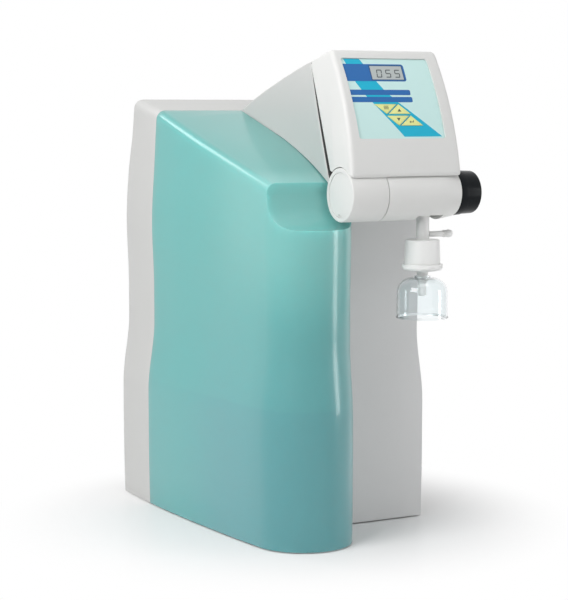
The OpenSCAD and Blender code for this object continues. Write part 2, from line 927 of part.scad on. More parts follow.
module main_board() {
    color("seagreen")
        place()
            union() {
                block([frame_x + frame_t + 6, -150, 370], [frame_x + frame_t + 7.6, -30, 425]);
                for (y = [-145, -35], z = [375, 420])
                    translate([frame_x + frame_t, y, z])
                        rotate([0, 90, 0])
                            cylinder(h = 6, r = 3);
            }
}

module power_supply() {
    color("darkgray")
        place()
            block([frame_x + frame_t, -60, base_top + 100], [frame_x + 90, -12, base_top + 240]);
}

pump_x = 80;
pump_y = -245;
motor_l = 90;
coupling_l = 14;

module pump_motor() {
    color("dimgray")
        place()
            union() {
                block([pump_x - 32, pump_y - 32, base_top], [pump_x + 32, pump_y + 32, base_top + 4]);
                upright(pump_x, pump_y, base_top + 4, base_top + motor_l, motor_r);
            }
}

module pump_coupling() {
    color("silver")
        place()
            upright(pump_x, pump_y, base_top + motor_l + 0.3, base_top + motor_l + coupling_l - 0.3, 9);
}

module pump_head() {
    z0 = base_top + motor_l + coupling_l;
    color("white")
        place()
            difference() {
                union() {
                    upright(pump_x, pump_y, z0 - coupling_l, z0, motor_r);
                    upright(pump_x, pump_y, z0, z0 + 34, motor_r - 2);
                    translate([pump_x - 40, pump_y, z0 + 24])
                        rotate([0, 90, 0])
                            cylinder(h = 40, r = 5);
                }
                upright(pump_x, pump_y, z0 - coupling_l - over, z0, motor_r - 3);
            }
}

cartridge_x = 62;
cartridge_ys = [-100, -172];
cartridge_z = base_top + 6;

module cartridge(y) {
    color("white")
        place()
            translate([cartridge_x, y, cartridge_z])
                rotate_extrude()
                    polygon([[0, 0], [cartridge_r - 4, 0], [cartridge_r, 4], [cartridge_r, cartridge_l - 12],
                        [cartridge_r - 6, cartridge_l - 6], [14, cartridge_l - 6], [14, cartridge_l], [0, cartridge_l]]);
}

module cartridge_1() cartridge(cartridge_ys[0]);
module cartridge_2() cartridge(cartridge_ys[1]);

module cartridge_heads() {
    z = cartridge_z + cartridge_l;
    color("dodgerblue")
        place()
            union() {
                for (y = cartridge_ys)
                    upright(cartridge_x, y, z, z + 30, 24);
                block([frame_x + frame_t, cartridge_ys[1] - 12, z + 10], [cartridge_x, cartridge_ys[0] + 12, z + 24]);
            }
}

uv_x = frame_x + frame_t + 24;
uv_y = -262;

module uv_reactor() {
    color("lightgray")
        place()
            difference() {
                union() {
                    upright(uv_x, uv_y, 40, 330, uv_r);
                    for (z = [70, 290])
                        block([frame_x + frame_t, uv_y - 6, z], [uv_x, uv_y + 6, z + 8]);
                }
                upright(uv_x, uv_y, 45, 331, uv_r - 2);
            }
}

module uv_lamp() {
    color("lavender")
        place()
            union() {
                upright(uv_x, uv_y, 45, 320, 7);
                upright(uv_x, uv_y, 320, 336, uv_r - 2.1);
            }
}

module solenoid_valve() {
    x = frame_x + frame_t;
    color("goldenrod")
        place()
            union() {
                block([x, -70, 250], [x + 26, -40, 276]);
                upright(x + 13, -55, 276, 306, 12);
            }
}

module pressure_regulator() {
    x = frame_x + frame_t;
    color("steelblue")
        place()
            union() {
                block([x, -122, 180], [x + 24, -98, 204]);
                upright(x + 12, -110, 204, 232, 11);
            }
}

module conductivity_cell() {
    x = frame_x + frame_t;
    color("gray")
        place()
            union() {
                block([x, -232, cell_top - 20], [x + 22, -212, cell_top]);
                upright(x + 11, -222, 330, 352, 6);
            }
}

// rigid line from the cell up through neck and head into the arm
line_r = 4;
cell_top = 372;
line_route = [[frame_x + frame_t + 11, -222, cell_top], [frame_x + frame_t + 11, -222, cell_top + 20],
    [outlet_off, -222, cell_top + 20], [outlet_off, -222, arm_h + 53], [outlet_off, arm_y, arm_h + 53],
    [outlet_off, arm_y, arm_h + 8.2 + line_r]];

module product_line() {
    color("azure")
        place()
            union() {
                for (i = [0 : len(line_route) - 2]) {
                    p = line_route[i];
                    q = line_route[i + 1];
                    d = q - p;
                    translate(p)
                        rotate([0, acos(d[2] / norm(d)), atan2(d[1], d[0])])
                            cylinder(h = norm(d), r = line_r);
                    translate(q)
                        sphere(line_r);
                }
            }
}

rod_x = nose_x - 10;
rod_y = -170;
float_l = 34;
float_low = 40;

module level_rod() {
    low = inner_floor + tank_wall;
    color("white")
        place()
            union() {
                upright(rod_x, rod_y, low, 400, rod_r);
                upright(rod_x, rod_y, low, low + 6, 16);
                upright(rod_x, rod_y, low, low + float_low - 0.3, rod_r + 4);
            }
}

module level_float() {
    low = inner_floor + tank_wall + float_low;
    color("white")
        place()
            difference() {
                upright(rod_x, rod_y, low, low + float_l, float_r);
                upright(rod_x, rod_y, low - over, low + float_l + over, rod_r + run_gap);
            }
}

// --- back ------------------------------------------------------------------------------

module mains_inlet() {
    color("black")
        place()
            difference() {
                union() {
                    block([inlet_x - inlet_w / 2 + 0.3, -22, inlet_z - inlet_hgt / 2 + 0.3],
                        [inlet_x + inlet_w / 2 - 0.3, 0.3, inlet_z + inlet_hgt / 2 - 0.3]);
                    block([inlet_x - inlet_w / 2 - 6, 0.3, inlet_z - inlet_hgt / 2 - 3],
                        [inlet_x + inlet_w / 2 + 6, 3, inlet_z + inlet_hgt / 2 + 3]);
                }
                block([inlet_x - 12.2, -15, inlet_z - 8.5], [inlet_x + 12.2, 4, inlet_z + 8.5]);
            }
}

module inlet_pins() {
    color("gold")
        place()
            for (dx = [-7, 0, 7])
                block([inlet_x + dx - 1, -15, inlet_z - 2 + (dx == 0 ? 3 : 0)],
                    [inlet_x + dx + 1, -3, inlet_z + 2 + (dx == 0 ? 3 : 0)]);
}

module switch_frame() {
    color("black")
        place()
            difference() {
                union() {
                    block([switch_x - switch_w / 2 + 0.3, -20, inlet_z - switch_hgt / 2 + 0.3],
                        [switch_x + switch_w / 2 - 0.3, 0.3, inlet_z + switch_hgt / 2 - 0.3]);
                    block([switch_x - switch_w / 2 - 2, 0.3, inlet_z - switch_hgt / 2 - 2],
                        [switch_x + switch_w / 2 + 2, 2.5, inlet_z + switch_hgt / 2 + 2]);
                }
                block([switch_x - switch_w / 2 + 2.5, -14, inlet_z - switch_hgt / 2 + 2.5],
                    [switch_x + switch_w / 2 - 2.5, 4, inlet_z + switch_hgt / 2 - 2.5]);
                translate([switch_x - switch_w / 2 + 1, -5, inlet_z])
                    rotate([0, 90, 0])
                        cylinder(h = switch_w - 2, r = 1.5 + run_gap);
            }
}

module rocker_switch() {
    half = switch_w / 2 - 3;
    color("firebrick")
        place()
            union() {
                translate([switch_x - half, 0, 0])
                    rotate([90, 0, 90])
                        linear_extrude(2 * half)
                            polygon([[-8, inlet_z - 4], [-8, inlet_z + 4], [1, inlet_z + 11], [3.6, inlet_z + 11],
                                [0.8, inlet_z], [3.6, inlet_z - 11], [1, inlet_z - 11]]);
                translate([switch_x - half - 1.7, -5, inlet_z])
                    rotate([0, 90, 0])
                        cylinder(h = 2 * half + 3.4, r = 1.5);
            }
}

module rear_port(x, r, bore) {
    difference() {
        union() {
            translate([x, rear_reach, feed_z])
                rotate([90, 0, 0])
                    cylinder(h = rear_reach - 0.3, r = r);
            translate([x, over, feed_z])
                rotate([90, 0, 0])
                    cylinder(h = 20, r = r - 0.8);
            translate([x, -wall - 0.3, feed_z])
                rotate([90, 0, 0])
                    cylinder(h = 6, r = r + 5, $fn = 6);
        }
        translate([x, rear_reach + over, feed_z])
            rotate([90, 0, 0])
                cylinder(h = rear_reach + 12, r = bore);
    }
}

module feed_connection() {
    color("goldenrod")
        place()
            rear_port(feed_x, feed_r, 9);
}

module drain_connection() {
    color("silver")
        place()
            rear_port(drain_x, drain_r, 3.5);
}

module cover_screws() {
    color("silver")
        place()
            for (x = [-half_w + 30, half_w - 30], z = [30, 420])
                translate([x, 0.3 + 2, z])
                    rotate([90, 0, 0])
                        cylinder(h = 2, r = 4);
}

base_plate();
feet();
rear_shell();
tank();
front_panel();
right_cover();
neck_cover();
neck_collar();
head_cover();
display_foil();
lcd_module();
key_1();
key_2();
key_3();
key_4();
head_board();
arm_left_sleeve();
arm_end_cap();
arm_right_sleeve();
arm_core();
valve_body();
valve_stem();
knob();
outlet_tube();
vent_screw();
filter_capsule();
filter_flange();
filter_outlet();
bell();
chassis_wall();
main_board();
power_supply();
pump_motor();
pump_coupling();
pump_head();
cartridge_1();
cartridge_2();
cartridge_heads();
uv_reactor();
uv_lamp();
solenoid_valve();
pressure_regulator();
conductivity_cell();
product_line();
level_rod();
level_float();
mains_inlet();
inlet_pins();
switch_frame();
rocker_switch();
feed_connection();
drain_connection();
cover_screws();
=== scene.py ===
"""Looks of a bench water purifier: smooth covers, printed foil, clear bell, studio."""

import json
import math

import bmesh
import bpy
from mathutils import Matrix, Vector


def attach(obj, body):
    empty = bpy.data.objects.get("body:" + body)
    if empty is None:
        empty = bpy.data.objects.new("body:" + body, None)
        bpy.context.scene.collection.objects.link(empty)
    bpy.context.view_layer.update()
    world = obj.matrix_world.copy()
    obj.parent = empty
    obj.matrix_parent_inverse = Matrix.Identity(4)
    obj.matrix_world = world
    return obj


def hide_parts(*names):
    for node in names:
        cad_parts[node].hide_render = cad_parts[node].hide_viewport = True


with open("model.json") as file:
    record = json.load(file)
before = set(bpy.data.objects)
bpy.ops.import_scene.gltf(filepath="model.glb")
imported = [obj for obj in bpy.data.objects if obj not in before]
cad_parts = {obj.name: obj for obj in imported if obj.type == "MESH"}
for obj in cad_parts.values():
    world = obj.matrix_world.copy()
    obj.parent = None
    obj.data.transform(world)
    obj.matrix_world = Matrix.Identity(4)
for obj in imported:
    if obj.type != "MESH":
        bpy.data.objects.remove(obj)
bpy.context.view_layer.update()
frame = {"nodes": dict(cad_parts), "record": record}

bl_info = {
    "name": "Bench water purifier",
    "version": (1, 0, 0),
    "blender": (4, 5, 0),
    "location": "View3D > Sidebar > Purifier",
    "description": "Builds the covers, tank, head, arm, filter and studio round a packed frame",
    "category": "Object",
}

# --- sizes, in millimetres: x from the centre plane, y from the back face, z from the bench ---

MM = 0.001
SHIFT_Y = 202.15
HALF_W = 135.0
SEAM_Y = -88.0
PANEL_Y = -298.0
SEAM_GAP = 0.4
TOP_SEAM = 477.5
SHELL_DROP = 15.1
TANK_SLOPE = 16.57
# side walls: one large radius in plan, and a wave over the height
WALL_Y = -70.0
SIDE_R = 2350.0
WALL_CX = SIDE_R - HALF_W
WALL_LOW = 1.5
FOOT_IN, FOOT_H = 1.2, 80
WAIST_IN, WAIST_Z, WAIST_H = 8.6, 140, 85
BELLY_OUT, BELLY_Z, BELLY_H = 2.2, 265, 160
TOP_IN, TOP_Z, TOP_H = 2.5, 330, 100
# upright back corners of the rear shell, drawn in a little more near the top
CORNER_R = 12.0
CORNER_IN, CORNER_Z, CORNER_H = 3.6, 395, 65
# rounding of the tank's upper edges beside the deck, on the outside and along the neck
DECK_EDGE_R = 11.5
INNER_EDGE_R = 1.2
NOSE_X = -61.0
NOSE_Y = -343.5
NOSE_LEFT_R = SIDE_R - math.hypot(WALL_CX - NOSE_X, WALL_Y - NOSE_Y)
NOSE_FRONT = NOSE_Y - NOSE_LEFT_R
TANK_RIGHT = -7.3
NOSE_RIGHT_R = TANK_RIGHT - NOSE_X
NOSE_JOIN = math.degrees(math.atan2(WALL_Y - NOSE_Y, WALL_CX - NOSE_X))
ARM_Y = -389.0
ARM_Z = 387.0
ARM_R = 29.3
ARM_LEFT = -41.0
SLEEVE_SEAM = 4.0
ARM_RIGHT = 99.0
OUTLET_X = 64.5
VENT_Z = 341.5
SCOOP_R = 37.0
SCOOP_FALL = 6.0
HEAD_LEFT = -41.0
HEAD_RIGHT = 95.0
NECK_LEFT = -7.0
NECK_RIGHT = 119.0
NECK_LEFT_R = 635.0
NECK_RIGHT_R = 887.0
NECK_TOP_R = 650.0
NECK_OVER = 1.0
NECK_CURVE_Y = -150.0
# the neck's left wall sweeps out more at its top than at its foot
NECK_SWEEP, NECK_TWIST = 0.95, 0.225
FACE_Y = -115.2
FACE_Z = 380.1
FACE_R = 300.5
FOIL_LEFT = HEAD_LEFT + 11.2
FOIL_W = 109.0
FOIL_LOW = 12.95
FOIL_HIGH = 30.8
FOIL_R = FACE_R - 1.4
LEAN = 20.6
GROOVE_TOP = (-318.5, 531.0)
GROOVE_FOOT = 141.0
# where the neck ends before the groove's middle, and where the head's back corners are centred
NECK_FRONT_V = -1.8
HEEL_V = 9.0
HEEL_U, SOLE_U, HEEL_R = 7.5, 126.0, 5.5
# roundings of the head's face at its lower and upper end, and the face angles where they start
CURL_R, CURL_ANGLE = 7.0, 6.0
BROW_R, BROW_ANGLE, BROW_END = 8.0, 31.8, 103.5
# sideways lean of the head: offset at the face's lower edge, that edge's height, height of the face
SWAY, SWAY_Z, SWAY_H = 2.1, 449.0, 85.0
# keys: middle x, middle angle, point up
KEYS = ((11.5, 19.3, False), (27.5, 19.3, True), (25.0, 16.8, False), (41.0, 16.8, True))
KEY_SIDE = 27.0
KEY_H = 10.8
KEY_GAP = 0.35
KEY_TOP = FACE_R - 1.0
# the foil's layout counts x from a line this far left of the centre plane
LAYOUT_X = 131
# natural polypropylene, of the filter and of fittings inside
NATURAL = "#FAFAF8"


# --- helpers: numbers -------------------------------------------------------------------

def smooth(t):
    """0 to 1 with level ends."""
    c = min(1.0, max(0.0, t))
    return c * c * (3 - 2 * c)


def spread(a, b, n):
    """n values from a to b."""
    return [a + (b - a) * i / (n - 1) for i in range(n)]


def sind(a):
    return math.sin(math.radians(a))


def cosd(a):
    return math.cos(math.radians(a))


def wave(z):
    """How far the side walls lie inside their widest line at height z."""
    foot = FOOT_IN * max(0.0, 1 - z / FOOT_H) ** 2
    waist = WAIST_IN * smooth((z - WAIST_Z) / WAIST_H)
    belly = BELLY_OUT * math.sin(math.pi * min(1.0, max(0.0, (z - BELLY_Z) / BELLY_H))) ** 2
    return foot + waist - belly + TOP_IN * (max(0.0, z - TOP_Z) / TOP_H) ** 2


def corner(s, z):
    """Extra draw-in of the side walls towards the upright back corners near the top."""
    y = s[1] - s[2] * sind(s[3])
    share = s[4] if s[2] == CORNER_R else smooth((y - WALL_Y) / (-CORNER_R - WALL_Y))
    return CORNER_IN * share * smooth((z - CORNER_Z) / CORNER_H)


def cover_point(s, inset, z):
    """A point of a cover's outline, moved sideways with the wavy wall."""
    x, y = plan(s, inset)
    return (x - math.copysign(s[4] * wave(z) + corner(s, z), x), y)


def shell_top(y):
    return TOP_SEAM + (y - SEAM_Y) * SHELL_DROP / -SEAM_Y


def deck_top(y):
    return TOP_SEAM + (y - SEAM_Y) * math.tan(math.radians(TANK_SLOPE))


def scoop_floor(y):
    """Height of the scoop's round floor, and of its run-out to the front."""
    if y > ARM_Y:
        return ARM_Z - math.sqrt(max(0.0, SCOOP_R ** 2 - (y - ARM_Y) ** 2))
    return ARM_Z - SCOOP_R + (y - ARM_Y) * math.tan(math.radians(SCOOP_FALL))


def plan(s, inset):
    """A point of an outline; s holds centre x and y, radius, angle, share of the wave and top radius."""
    return (s[0] - (s[2] - inset) * cosd(s[3]), s[1] - (s[2] - inset) * sind(s[3]))


def wall_angle(y):
    return math.degrees(math.asin((WALL_Y - y) / SIDE_R))


def groove_point(u, v):
    """A point beside the groove between neck and head: u runs down it, v towards the head."""
    y, z = GROOVE_TOP
    return (y - u * sind(LEAN) - v * cosd(LEAN), z - u * cosd(LEAN) + v * sind(LEAN))


# --- helpers: meshes --------------------------------------------------------------------

def to_part(bm):
    """Takes a bmesh drawn in millimetres to the part's frame in metres and evens out its normals."""
    move = Matrix.Translation((0, SHIFT_Y * MM, 0)) @ Matrix.Scale(MM, 4)
    bmesh.ops.transform(bm, matrix=move, verts=bm.verts)
    bmesh.ops.recalc_face_normals(bm, faces=bm.faces)


def new_object(name, bm, material, body="casing", sharp=32.0):
    """Turns a bmesh in millimetres into a finished piece at the part's origin."""
    to_part(bm)
    if bm.calc_volume(signed=True) < 0:
        bmesh.ops.reverse_faces(bm, faces=bm.faces)
    mesh = bpy.data.meshes.new(name)
    bm.to_mesh(mesh)
    bm.free()
    obj = bpy.data.objects.new(name, mesh)
    bpy.context.scene.collection.objects.link(obj)
    shade(obj, sharp)
    mesh.materials.append(material)
    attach(obj, body)
    return obj


def shade(obj, sharp):
    """Smooth shading with sharp edges above an angle."""
    mesh = obj.data
    mesh.polygons.foreach_set("use_smooth", [True] * len(mesh.polygons))
    mesh.set_sharp_from_angle(angle=math.radians(sharp))


def loft(bm, rings):
    """Quads through rings of equal count, closed at both ends."""
    rows = [[bm.verts.new(p) for p in ring] for ring in rings]
    n = len(rows[0])
    for a, b in zip(rows, rows[1:]):
        for i in range(n):
            j = (i + 1) % n
            bm.faces.new((a[i], a[j], b[j], b[i]))
    bm.faces.new(rows[0])
    bm.faces.new(rows[-1])


def lathe(bm, profile, origin, axis="Z", segments=96):
    """A closed profile of (radius, height) spun about an axis through origin."""
    turn = {"Z": Matrix.Identity(4), "X": Matrix.Rotation(math.radians(90), 4, "Y")}[axis]
    verts = [bm.verts.new((r, 0, h)) for r, h in profile]
    # an edge on the axis itself would spin to nothing
    pairs = [(a, b) for a, b in zip(verts, verts[1:] + verts[:1]) if a.co.x > 0 or b.co.x > 0]
    edges = [bm.edges.new(pair) for pair in pairs]
    bmesh.ops.spin(bm, geom=verts + edges, cent=(0, 0, 0), axis=(0, 0, 1), angle=math.radians(360),
                   steps=segments, use_merge=True)
    bmesh.ops.remove_doubles(bm, verts=bm.verts, dist=1e-4)
    bmesh.ops.transform(bm, matrix=Matrix.Translation(origin) @ turn, verts=bm.verts)


def round_profile(points, radii, steps=5):
    """Rounds the corners of a closed profile; a radius of 0 leaves a corner sharp."""
    out = []
    n = len(points)
    for i in range(n):
        p = Vector(points[i])
        r = radii[i]
        if r <= 0:
            out.append(tuple(p))
            continue
        a = Vector(points[i - 1]) - p
        b = Vector(points[(i + 1) % n]) - p
        la, lb = a.length, b.length
        a.normalize()
        b.normalize()
        half = math.acos(max(-1, min(1, a.dot(b)))) / 2
        d = min(r / math.tan(half), la * 0.49, lb * 0.49)
        r = d * math.tan(half)
        centre = p + (a + b).normalized() * (r / math.sin(half))
        u = p + a * d - centre
        w = p + b * d - centre
        sweep = math.pi - 2 * half
        for k in range(steps + 1):
            t = k / steps
            f = math.sin((1 - t) * sweep) / math.sin(sweep)
            g = math.sin(t * sweep) / math.sin(sweep)
            out.append(tuple(centre + u * f + w * g))
    return out


def slab(bm, low, high):
    """A box between two corners."""
    made = bmesh.ops.create_cube(bm, size=1.0)["verts"]
    size = [b - a for a, b in zip(low, high)]
    mid = [(a + b) / 2 for a, b in zip(low, high)]
    bmesh.ops.transform(bm, matrix=Matrix.Translation(mid) @ Matrix.Diagonal((*size, 1)), verts=made)


def cut(obj, build):
    """Takes away from obj the solid that build draws in millimetres."""
    bm = bmesh.new()
    build(bm)
    to_part(bm)
    mesh = bpy.data.meshes.new("cutter")
    bm.to_mesh(mesh)
    bm.free()
    cutter = bpy.data.objects.new("cutter", mesh)
    bpy.context.scene.collection.objects.link(cutter)
    mod = obj.modifiers.new("cut", "BOOLEAN")
    mod.operation = "DIFFERENCE"
    mod.solver = "EXACT"
    mod.object = cutter
    bake(obj)
    bpy.data.objects.remove(cutter)
    bpy.data.meshes.remove(mesh)


def bake(obj):
    """Applies obj's modifiers."""
    graph = bpy.context.evaluated_depsgraph_get()
    graph.update()
    shown = obj.evaluated_get(graph)
    made = bpy.data.meshes.new_from_object(shown, preserve_all_data_layers=True, depsgraph=graph)
    obj.modifiers.clear()
    old = obj.data
    made.name = old.name
    obj.data = made
    bpy.data.meshes.remove(old)


def bevel(obj, width, segments, angle=35.0):
    """Rounds the edges steeper than an angle."""
    mod = obj.modifiers.new("bevel", "BEVEL")
    mod.width = width * MM
    mod.segments = segments
    mod.limit_method = "ANGLE"
    mod.angle_limit = math.radians(angle)
    mod.use_clamp_overlap = True
    bake(obj)
    shade(obj, 32.0)


# --- helpers: materials -----------------------------------------------------------------

def linear(code):
    """An sRGB hex colour as linear RGBA."""
    values = [int(code[i:i + 2], 16) / 255 for i in (1, 3, 5)]
    return (*[v / 12.92 if v <= 0.04045 else ((v + 0.055) / 1.055) ** 2.4 for v in values], 1.0)


def add(tree, kind, place):
    """Adds a shader node at a place in the editor."""
    node = tree.nodes.new(kind)
    node.location = place
    return node


def plastic(name, code, rough=0.35, grain=0.35, bump=0.05, tint=0.03, **sockets):
    """Moulded plastic: a faint fine grain in millimetres and a slight tone change."""
    found = bpy.data.materials.get(name)
    if found:
        return found
    mat = bpy.data.materials.new(name)
    mat.use_nodes = True
    tree = mat.node_tree
    tree.nodes.clear()
    out = add(tree, "ShaderNodeOutputMaterial", (600, 0))
    shader = add(tree, "ShaderNodeBsdfPrincipled", (300, 0))
    shader.inputs["Roughness"].default_value = rough
    for key, value in sockets.items():
        shader.inputs[key.replace("_", " ")].default_value = value
    coords = add(tree, "ShaderNodeTexCoord", (-900, 0))
    # grain size in mm becomes noise scale per metre
    noise = add(tree, "ShaderNodeTexNoise", (-600, -200))
    noise.inputs["Scale"].default_value = 1.0 / (grain * MM) / 2
    noise.inputs["Detail"].default_value = 2.0
    relief = add(tree, "ShaderNodeBump", (0, -300))
    relief.inputs["Strength"].default_value = bump
    relief.inputs["Distance"].default_value = 0.05 * MM
    slow = add(tree, "ShaderNodeTexNoise", (-600, 200))
    slow.inputs["Scale"].default_value = 12.0
    mix = add(tree, "ShaderNodeMix", (0, 200))
    mix.data_type = "RGBA"
    base = linear(code)
    mix.inputs["A"].default_value = base
    mix.inputs["B"].default_value = (*[c * (1 - tint) for c in base[:3]], 1.0)
    tree.links.new(coords.outputs["Object"], noise.inputs["Vector"])
    tree.links.new(coords.outputs["Object"], slow.inputs["Vector"])
    tree.links.new(noise.outputs["Fac"], relief.inputs["Height"])
    tree.links.new(slow.outputs["Fac"], mix.inputs["Factor"])
    tree.links.new(mix.outputs["Result"], shader.inputs["Base Color"])
    tree.links.new(relief.outputs["Normal"], shader.inputs["Normal"])
    tree.links.new(shader.outputs["BSDF"], out.inputs["Surface"])
    return mat


def metal(name, code, rough):
    """Bare metal with a fine, even grain."""
    return plastic(name, code, rough=rough, grain=0.4, bump=0.08, tint=0.08, Metallic=1.0)


# --- tank -------------------------------------------------------------------------------

def tank_columns():
    """Plan stations round the tank, split at the scoop's back wall; the nose has no top radius."""
    step_y = ARM_Y + SCOOP_R
    back_left = [(WALL_CX, WALL_Y, SIDE_R, a, 1.0, DECK_EDGE_R) for a in
                 spread(wall_angle(SEAM_Y - SEAM_GAP), NOSE_JOIN * 0.995, 26)]
    a_step = math.degrees(math.asin((NOSE_Y - step_y) / NOSE_LEFT_R))
    back_left += [(NOSE_X, NOSE_Y, NOSE_LEFT_R, a, 1.0, DECK_EDGE_R) for a in spread(NOSE_JOIN, a_step, 4)]
    nose = [(NOSE_X, NOSE_Y, NOSE_LEFT_R, a, 1.0) for a in spread(a_step, 90, 22)]
    centre = NOSE_FRONT + NOSE_RIGHT_R
    a_end = 180 - math.degrees(math.asin((centre - step_y) / NOSE_RIGHT_R))
    nose += [(NOSE_X, centre, NOSE_RIGHT_R, a, cosd(a - 90)) for a in spread(94, a_end, 20)]
    back_right = [(NOSE_X, y, NOSE_RIGHT_R, 180, 0.0, INNER_EDGE_R) for y in
                  spread(step_y, SEAM_Y - SEAM_GAP, 20)]
    return back_left, nose, back_right


def tank_point(s, z):
    """A point of the tank's wall at height z."""
    return (*plan(s, s[4] * wave(z)), z)


def tank_walls(bm, rows_low=44, rows_high=8, rounds=6):
    """Wall columns up to the deck behind the scoop and up to the scoop's floor round the nose."""
    back_left, nose, back_right = tank_columns()

    def lower(s, top):
        heights = spread(WALL_LOW, top, rows_low + 1)
        return [bm.verts.new(tank_point(s, z)) for z in heights]

    def upper(s, start):
        top = deck_top(plan(s, 0)[1]) - s[5]
        heights = spread(start.co.z, top, rows_high + 1)[1:]
        made = [start] + [bm.verts.new(tank_point(s, z)) for z in heights]
        for m in range(1, rounds + 1):
            a = 90 * m / rounds
            x, y = plan(s, s[5] * (1 - cosd(a)) + s[4] * wave(top))
            made.append(bm.verts.new((x, y, deck_top(y) - s[5] * (1 - sind(a)))))
        return made

    left_low = [lower(s, ARM_Z) for s in back_left]
    right_low = [lower(s, ARM_Z) for s in back_right]
    nose_low = [left_low[-1]]
    for s in nose[1:-1]:
        y = plan(s, s[4] * wave(ARM_Z - SCOOP_R + 5))[1]
        nose_low.append(lower(s, scoop_floor(min(y, ARM_Y + SCOOP_R))))
    nose_low.append(right_low[0])
    columns = left_low[:-1] + nose_low + right_low[1:]
    left_up = [upper(s, c[-1]) for s, c in zip(back_left, left_low)]
    right_up = [upper(s, c[-1]) for s, c in zip(back_right, right_low)]
    for group in (columns, left_up, right_up):
        for a, b in zip(group, group[1:]):
            for k in range(len(a) - 1):
                bm.faces.new((a[k], b[k], b[k + 1], a[k + 1]))
    return columns, left_up, right_up, nose_low


def tank_mesh(bm, across=16):
    """The tank as one closed solid: side wall, deck, step and scoop."""
    columns, left_up, right_up, nose_low = tank_walls(bm)
    # the deck is one plane: a single face between both edges
    bm.faces.new([c[-1] for c in left_up] + [c[-1] for c in right_up])
    # scoop floor: strips between matching columns of the nose, which are even in number
    rows = []
    for i in range(len(nose_low) // 2):
        p = nose_low[i][-1]
        q = nose_low[-1 - i][-1]
        row = [p]
        for k in range(1, across):
            co = p.co.lerp(q.co, k / across)
            if i:
                co.z = scoop_floor(co.y)
            row.append(bm.verts.new(co))
        rows.append(row + [q])
    for a, b in zip(rows, rows[1:]):
        for k in range(across):
            bm.faces.new((a[k], a[k + 1], b[k + 1], b[k]))
    bm.faces.new(rows[-1])
    # step: the upright wall above the scoop's back row, which shares that row's points
    bm.faces.new(list(reversed(left_up[-1])) + rows[0][1:-1] + right_up[0])
    # bottom and seam end
    bm.faces.new([c[0] for c in reversed(columns)])
    bm.faces.new(columns[0] + left_up[0][1:] + list(reversed(right_up[-1][1:])) + list(reversed(columns[-1])))
    bmesh.ops.remove_doubles(bm, verts=bm.verts, dist=0.01)


# --- covers -----------------------------------------------------------------------------

def cover_rings(stations, low, inset, top_at, levels=44, rounds=7):
    """Rings of a moulded cover: wavy wall, rounded top edge, ending on a plane."""
    rings = []
    for k in range(levels + 1):
        ring = []
        for s in stations:
            r = max(0.5, s[5] - inset)
            rim = top_at(plan(s, inset)[1]) - inset - r
            z = low + (rim - low) * k / levels
            ring.append((*cover_point(s, inset, z), z))
        rings.append(ring)
    for m in range(1, rounds + 1):
        a = 90 * m / rounds
        ring = []
        for s in stations:
            r = max(0.5, s[5] - inset)
            rim = top_at(plan(s, inset)[1]) - inset - r
            p = cover_point(s, inset + r * (1 - cosd(a)) * 0.999, rim)
            ring.append((*p, top_at(p[1]) - inset - r * (1 - sind(a))))
        rings.append(ring)
    return rings


def shell_stations(front_y):
    """Plan stations round the rear shell, with more of them beside the back corners."""
    r = CORNER_R
    side = wall_angle(-r)
    corner_x = HALF_W - r - SIDE_R * (1 - cosd(side))
    back = (corner_x - 3, corner_x - 40, 0.0, 40 - corner_x, 3 - corner_x)
    out = [(-WALL_CX, WALL_Y, SIDE_R, 180 - a, 1.0, r) for a in spread(wall_angle(front_y), side, 8)]
    out += [(corner_x, -r, r, a, 1.0, r) for a in spread(180 - side + 8, 270, 12)]
    out += [(x, -r, r, 270, abs(x) / corner_x, r) for x in back]
    out += [(-corner_x, -r, r, a, 1.0, r) for a in spread(270, 360 + side - 8, 12)]
    out += [(WALL_CX, WALL_Y, SIDE_R, a, 1.0, r) for a in spread(side, wall_angle(front_y), 8)]
    return out


def deck_stations(front_y, back_y, left_x):
    """Plan stations of the right cover: its wavy side, then its straight edge beside the neck."""
    out = [(-WALL_CX, WALL_Y, SIDE_R, 180 - a, 1.0, CORNER_R) for a in
           spread(wall_angle(front_y), wall_angle(back_y), 16)]
    out += [(left_x + 10, y, 10.0, 0.0, 0.0, 1.0) for y in spread(back_y, front_y, 16)]
    return out


# --- neck and head ----------------------------------------------------------------------

def neck_arc():
    """Centre of the neck's top arc in the y-z plane."""
    p = Vector((SEAM_Y, TOP_SEAM + NECK_OVER))
    q = Vector(GROOVE_TOP)
    d = q - p
    h = math.sqrt(NECK_TOP_R ** 2 - d.length_squared / 4)
    return (p + q) / 2 + h * Vector((-d.y, d.x)) / d.length


def neck_side(y, share, right, inset):
    """x of the neck's side wall at depth y and a share of the wall's height."""
    run = max(0.0, NECK_CURVE_Y - y)
    if right:
        return NECK_RIGHT - NECK_RIGHT_R + math.sqrt((NECK_RIGHT_R - inset) ** 2 - run ** 2)
    run *= NECK_SWEEP + NECK_TWIST * share
    return NECK_LEFT - NECK_LEFT_R + math.sqrt((NECK_LEFT_R + inset) ** 2 - run ** 2)


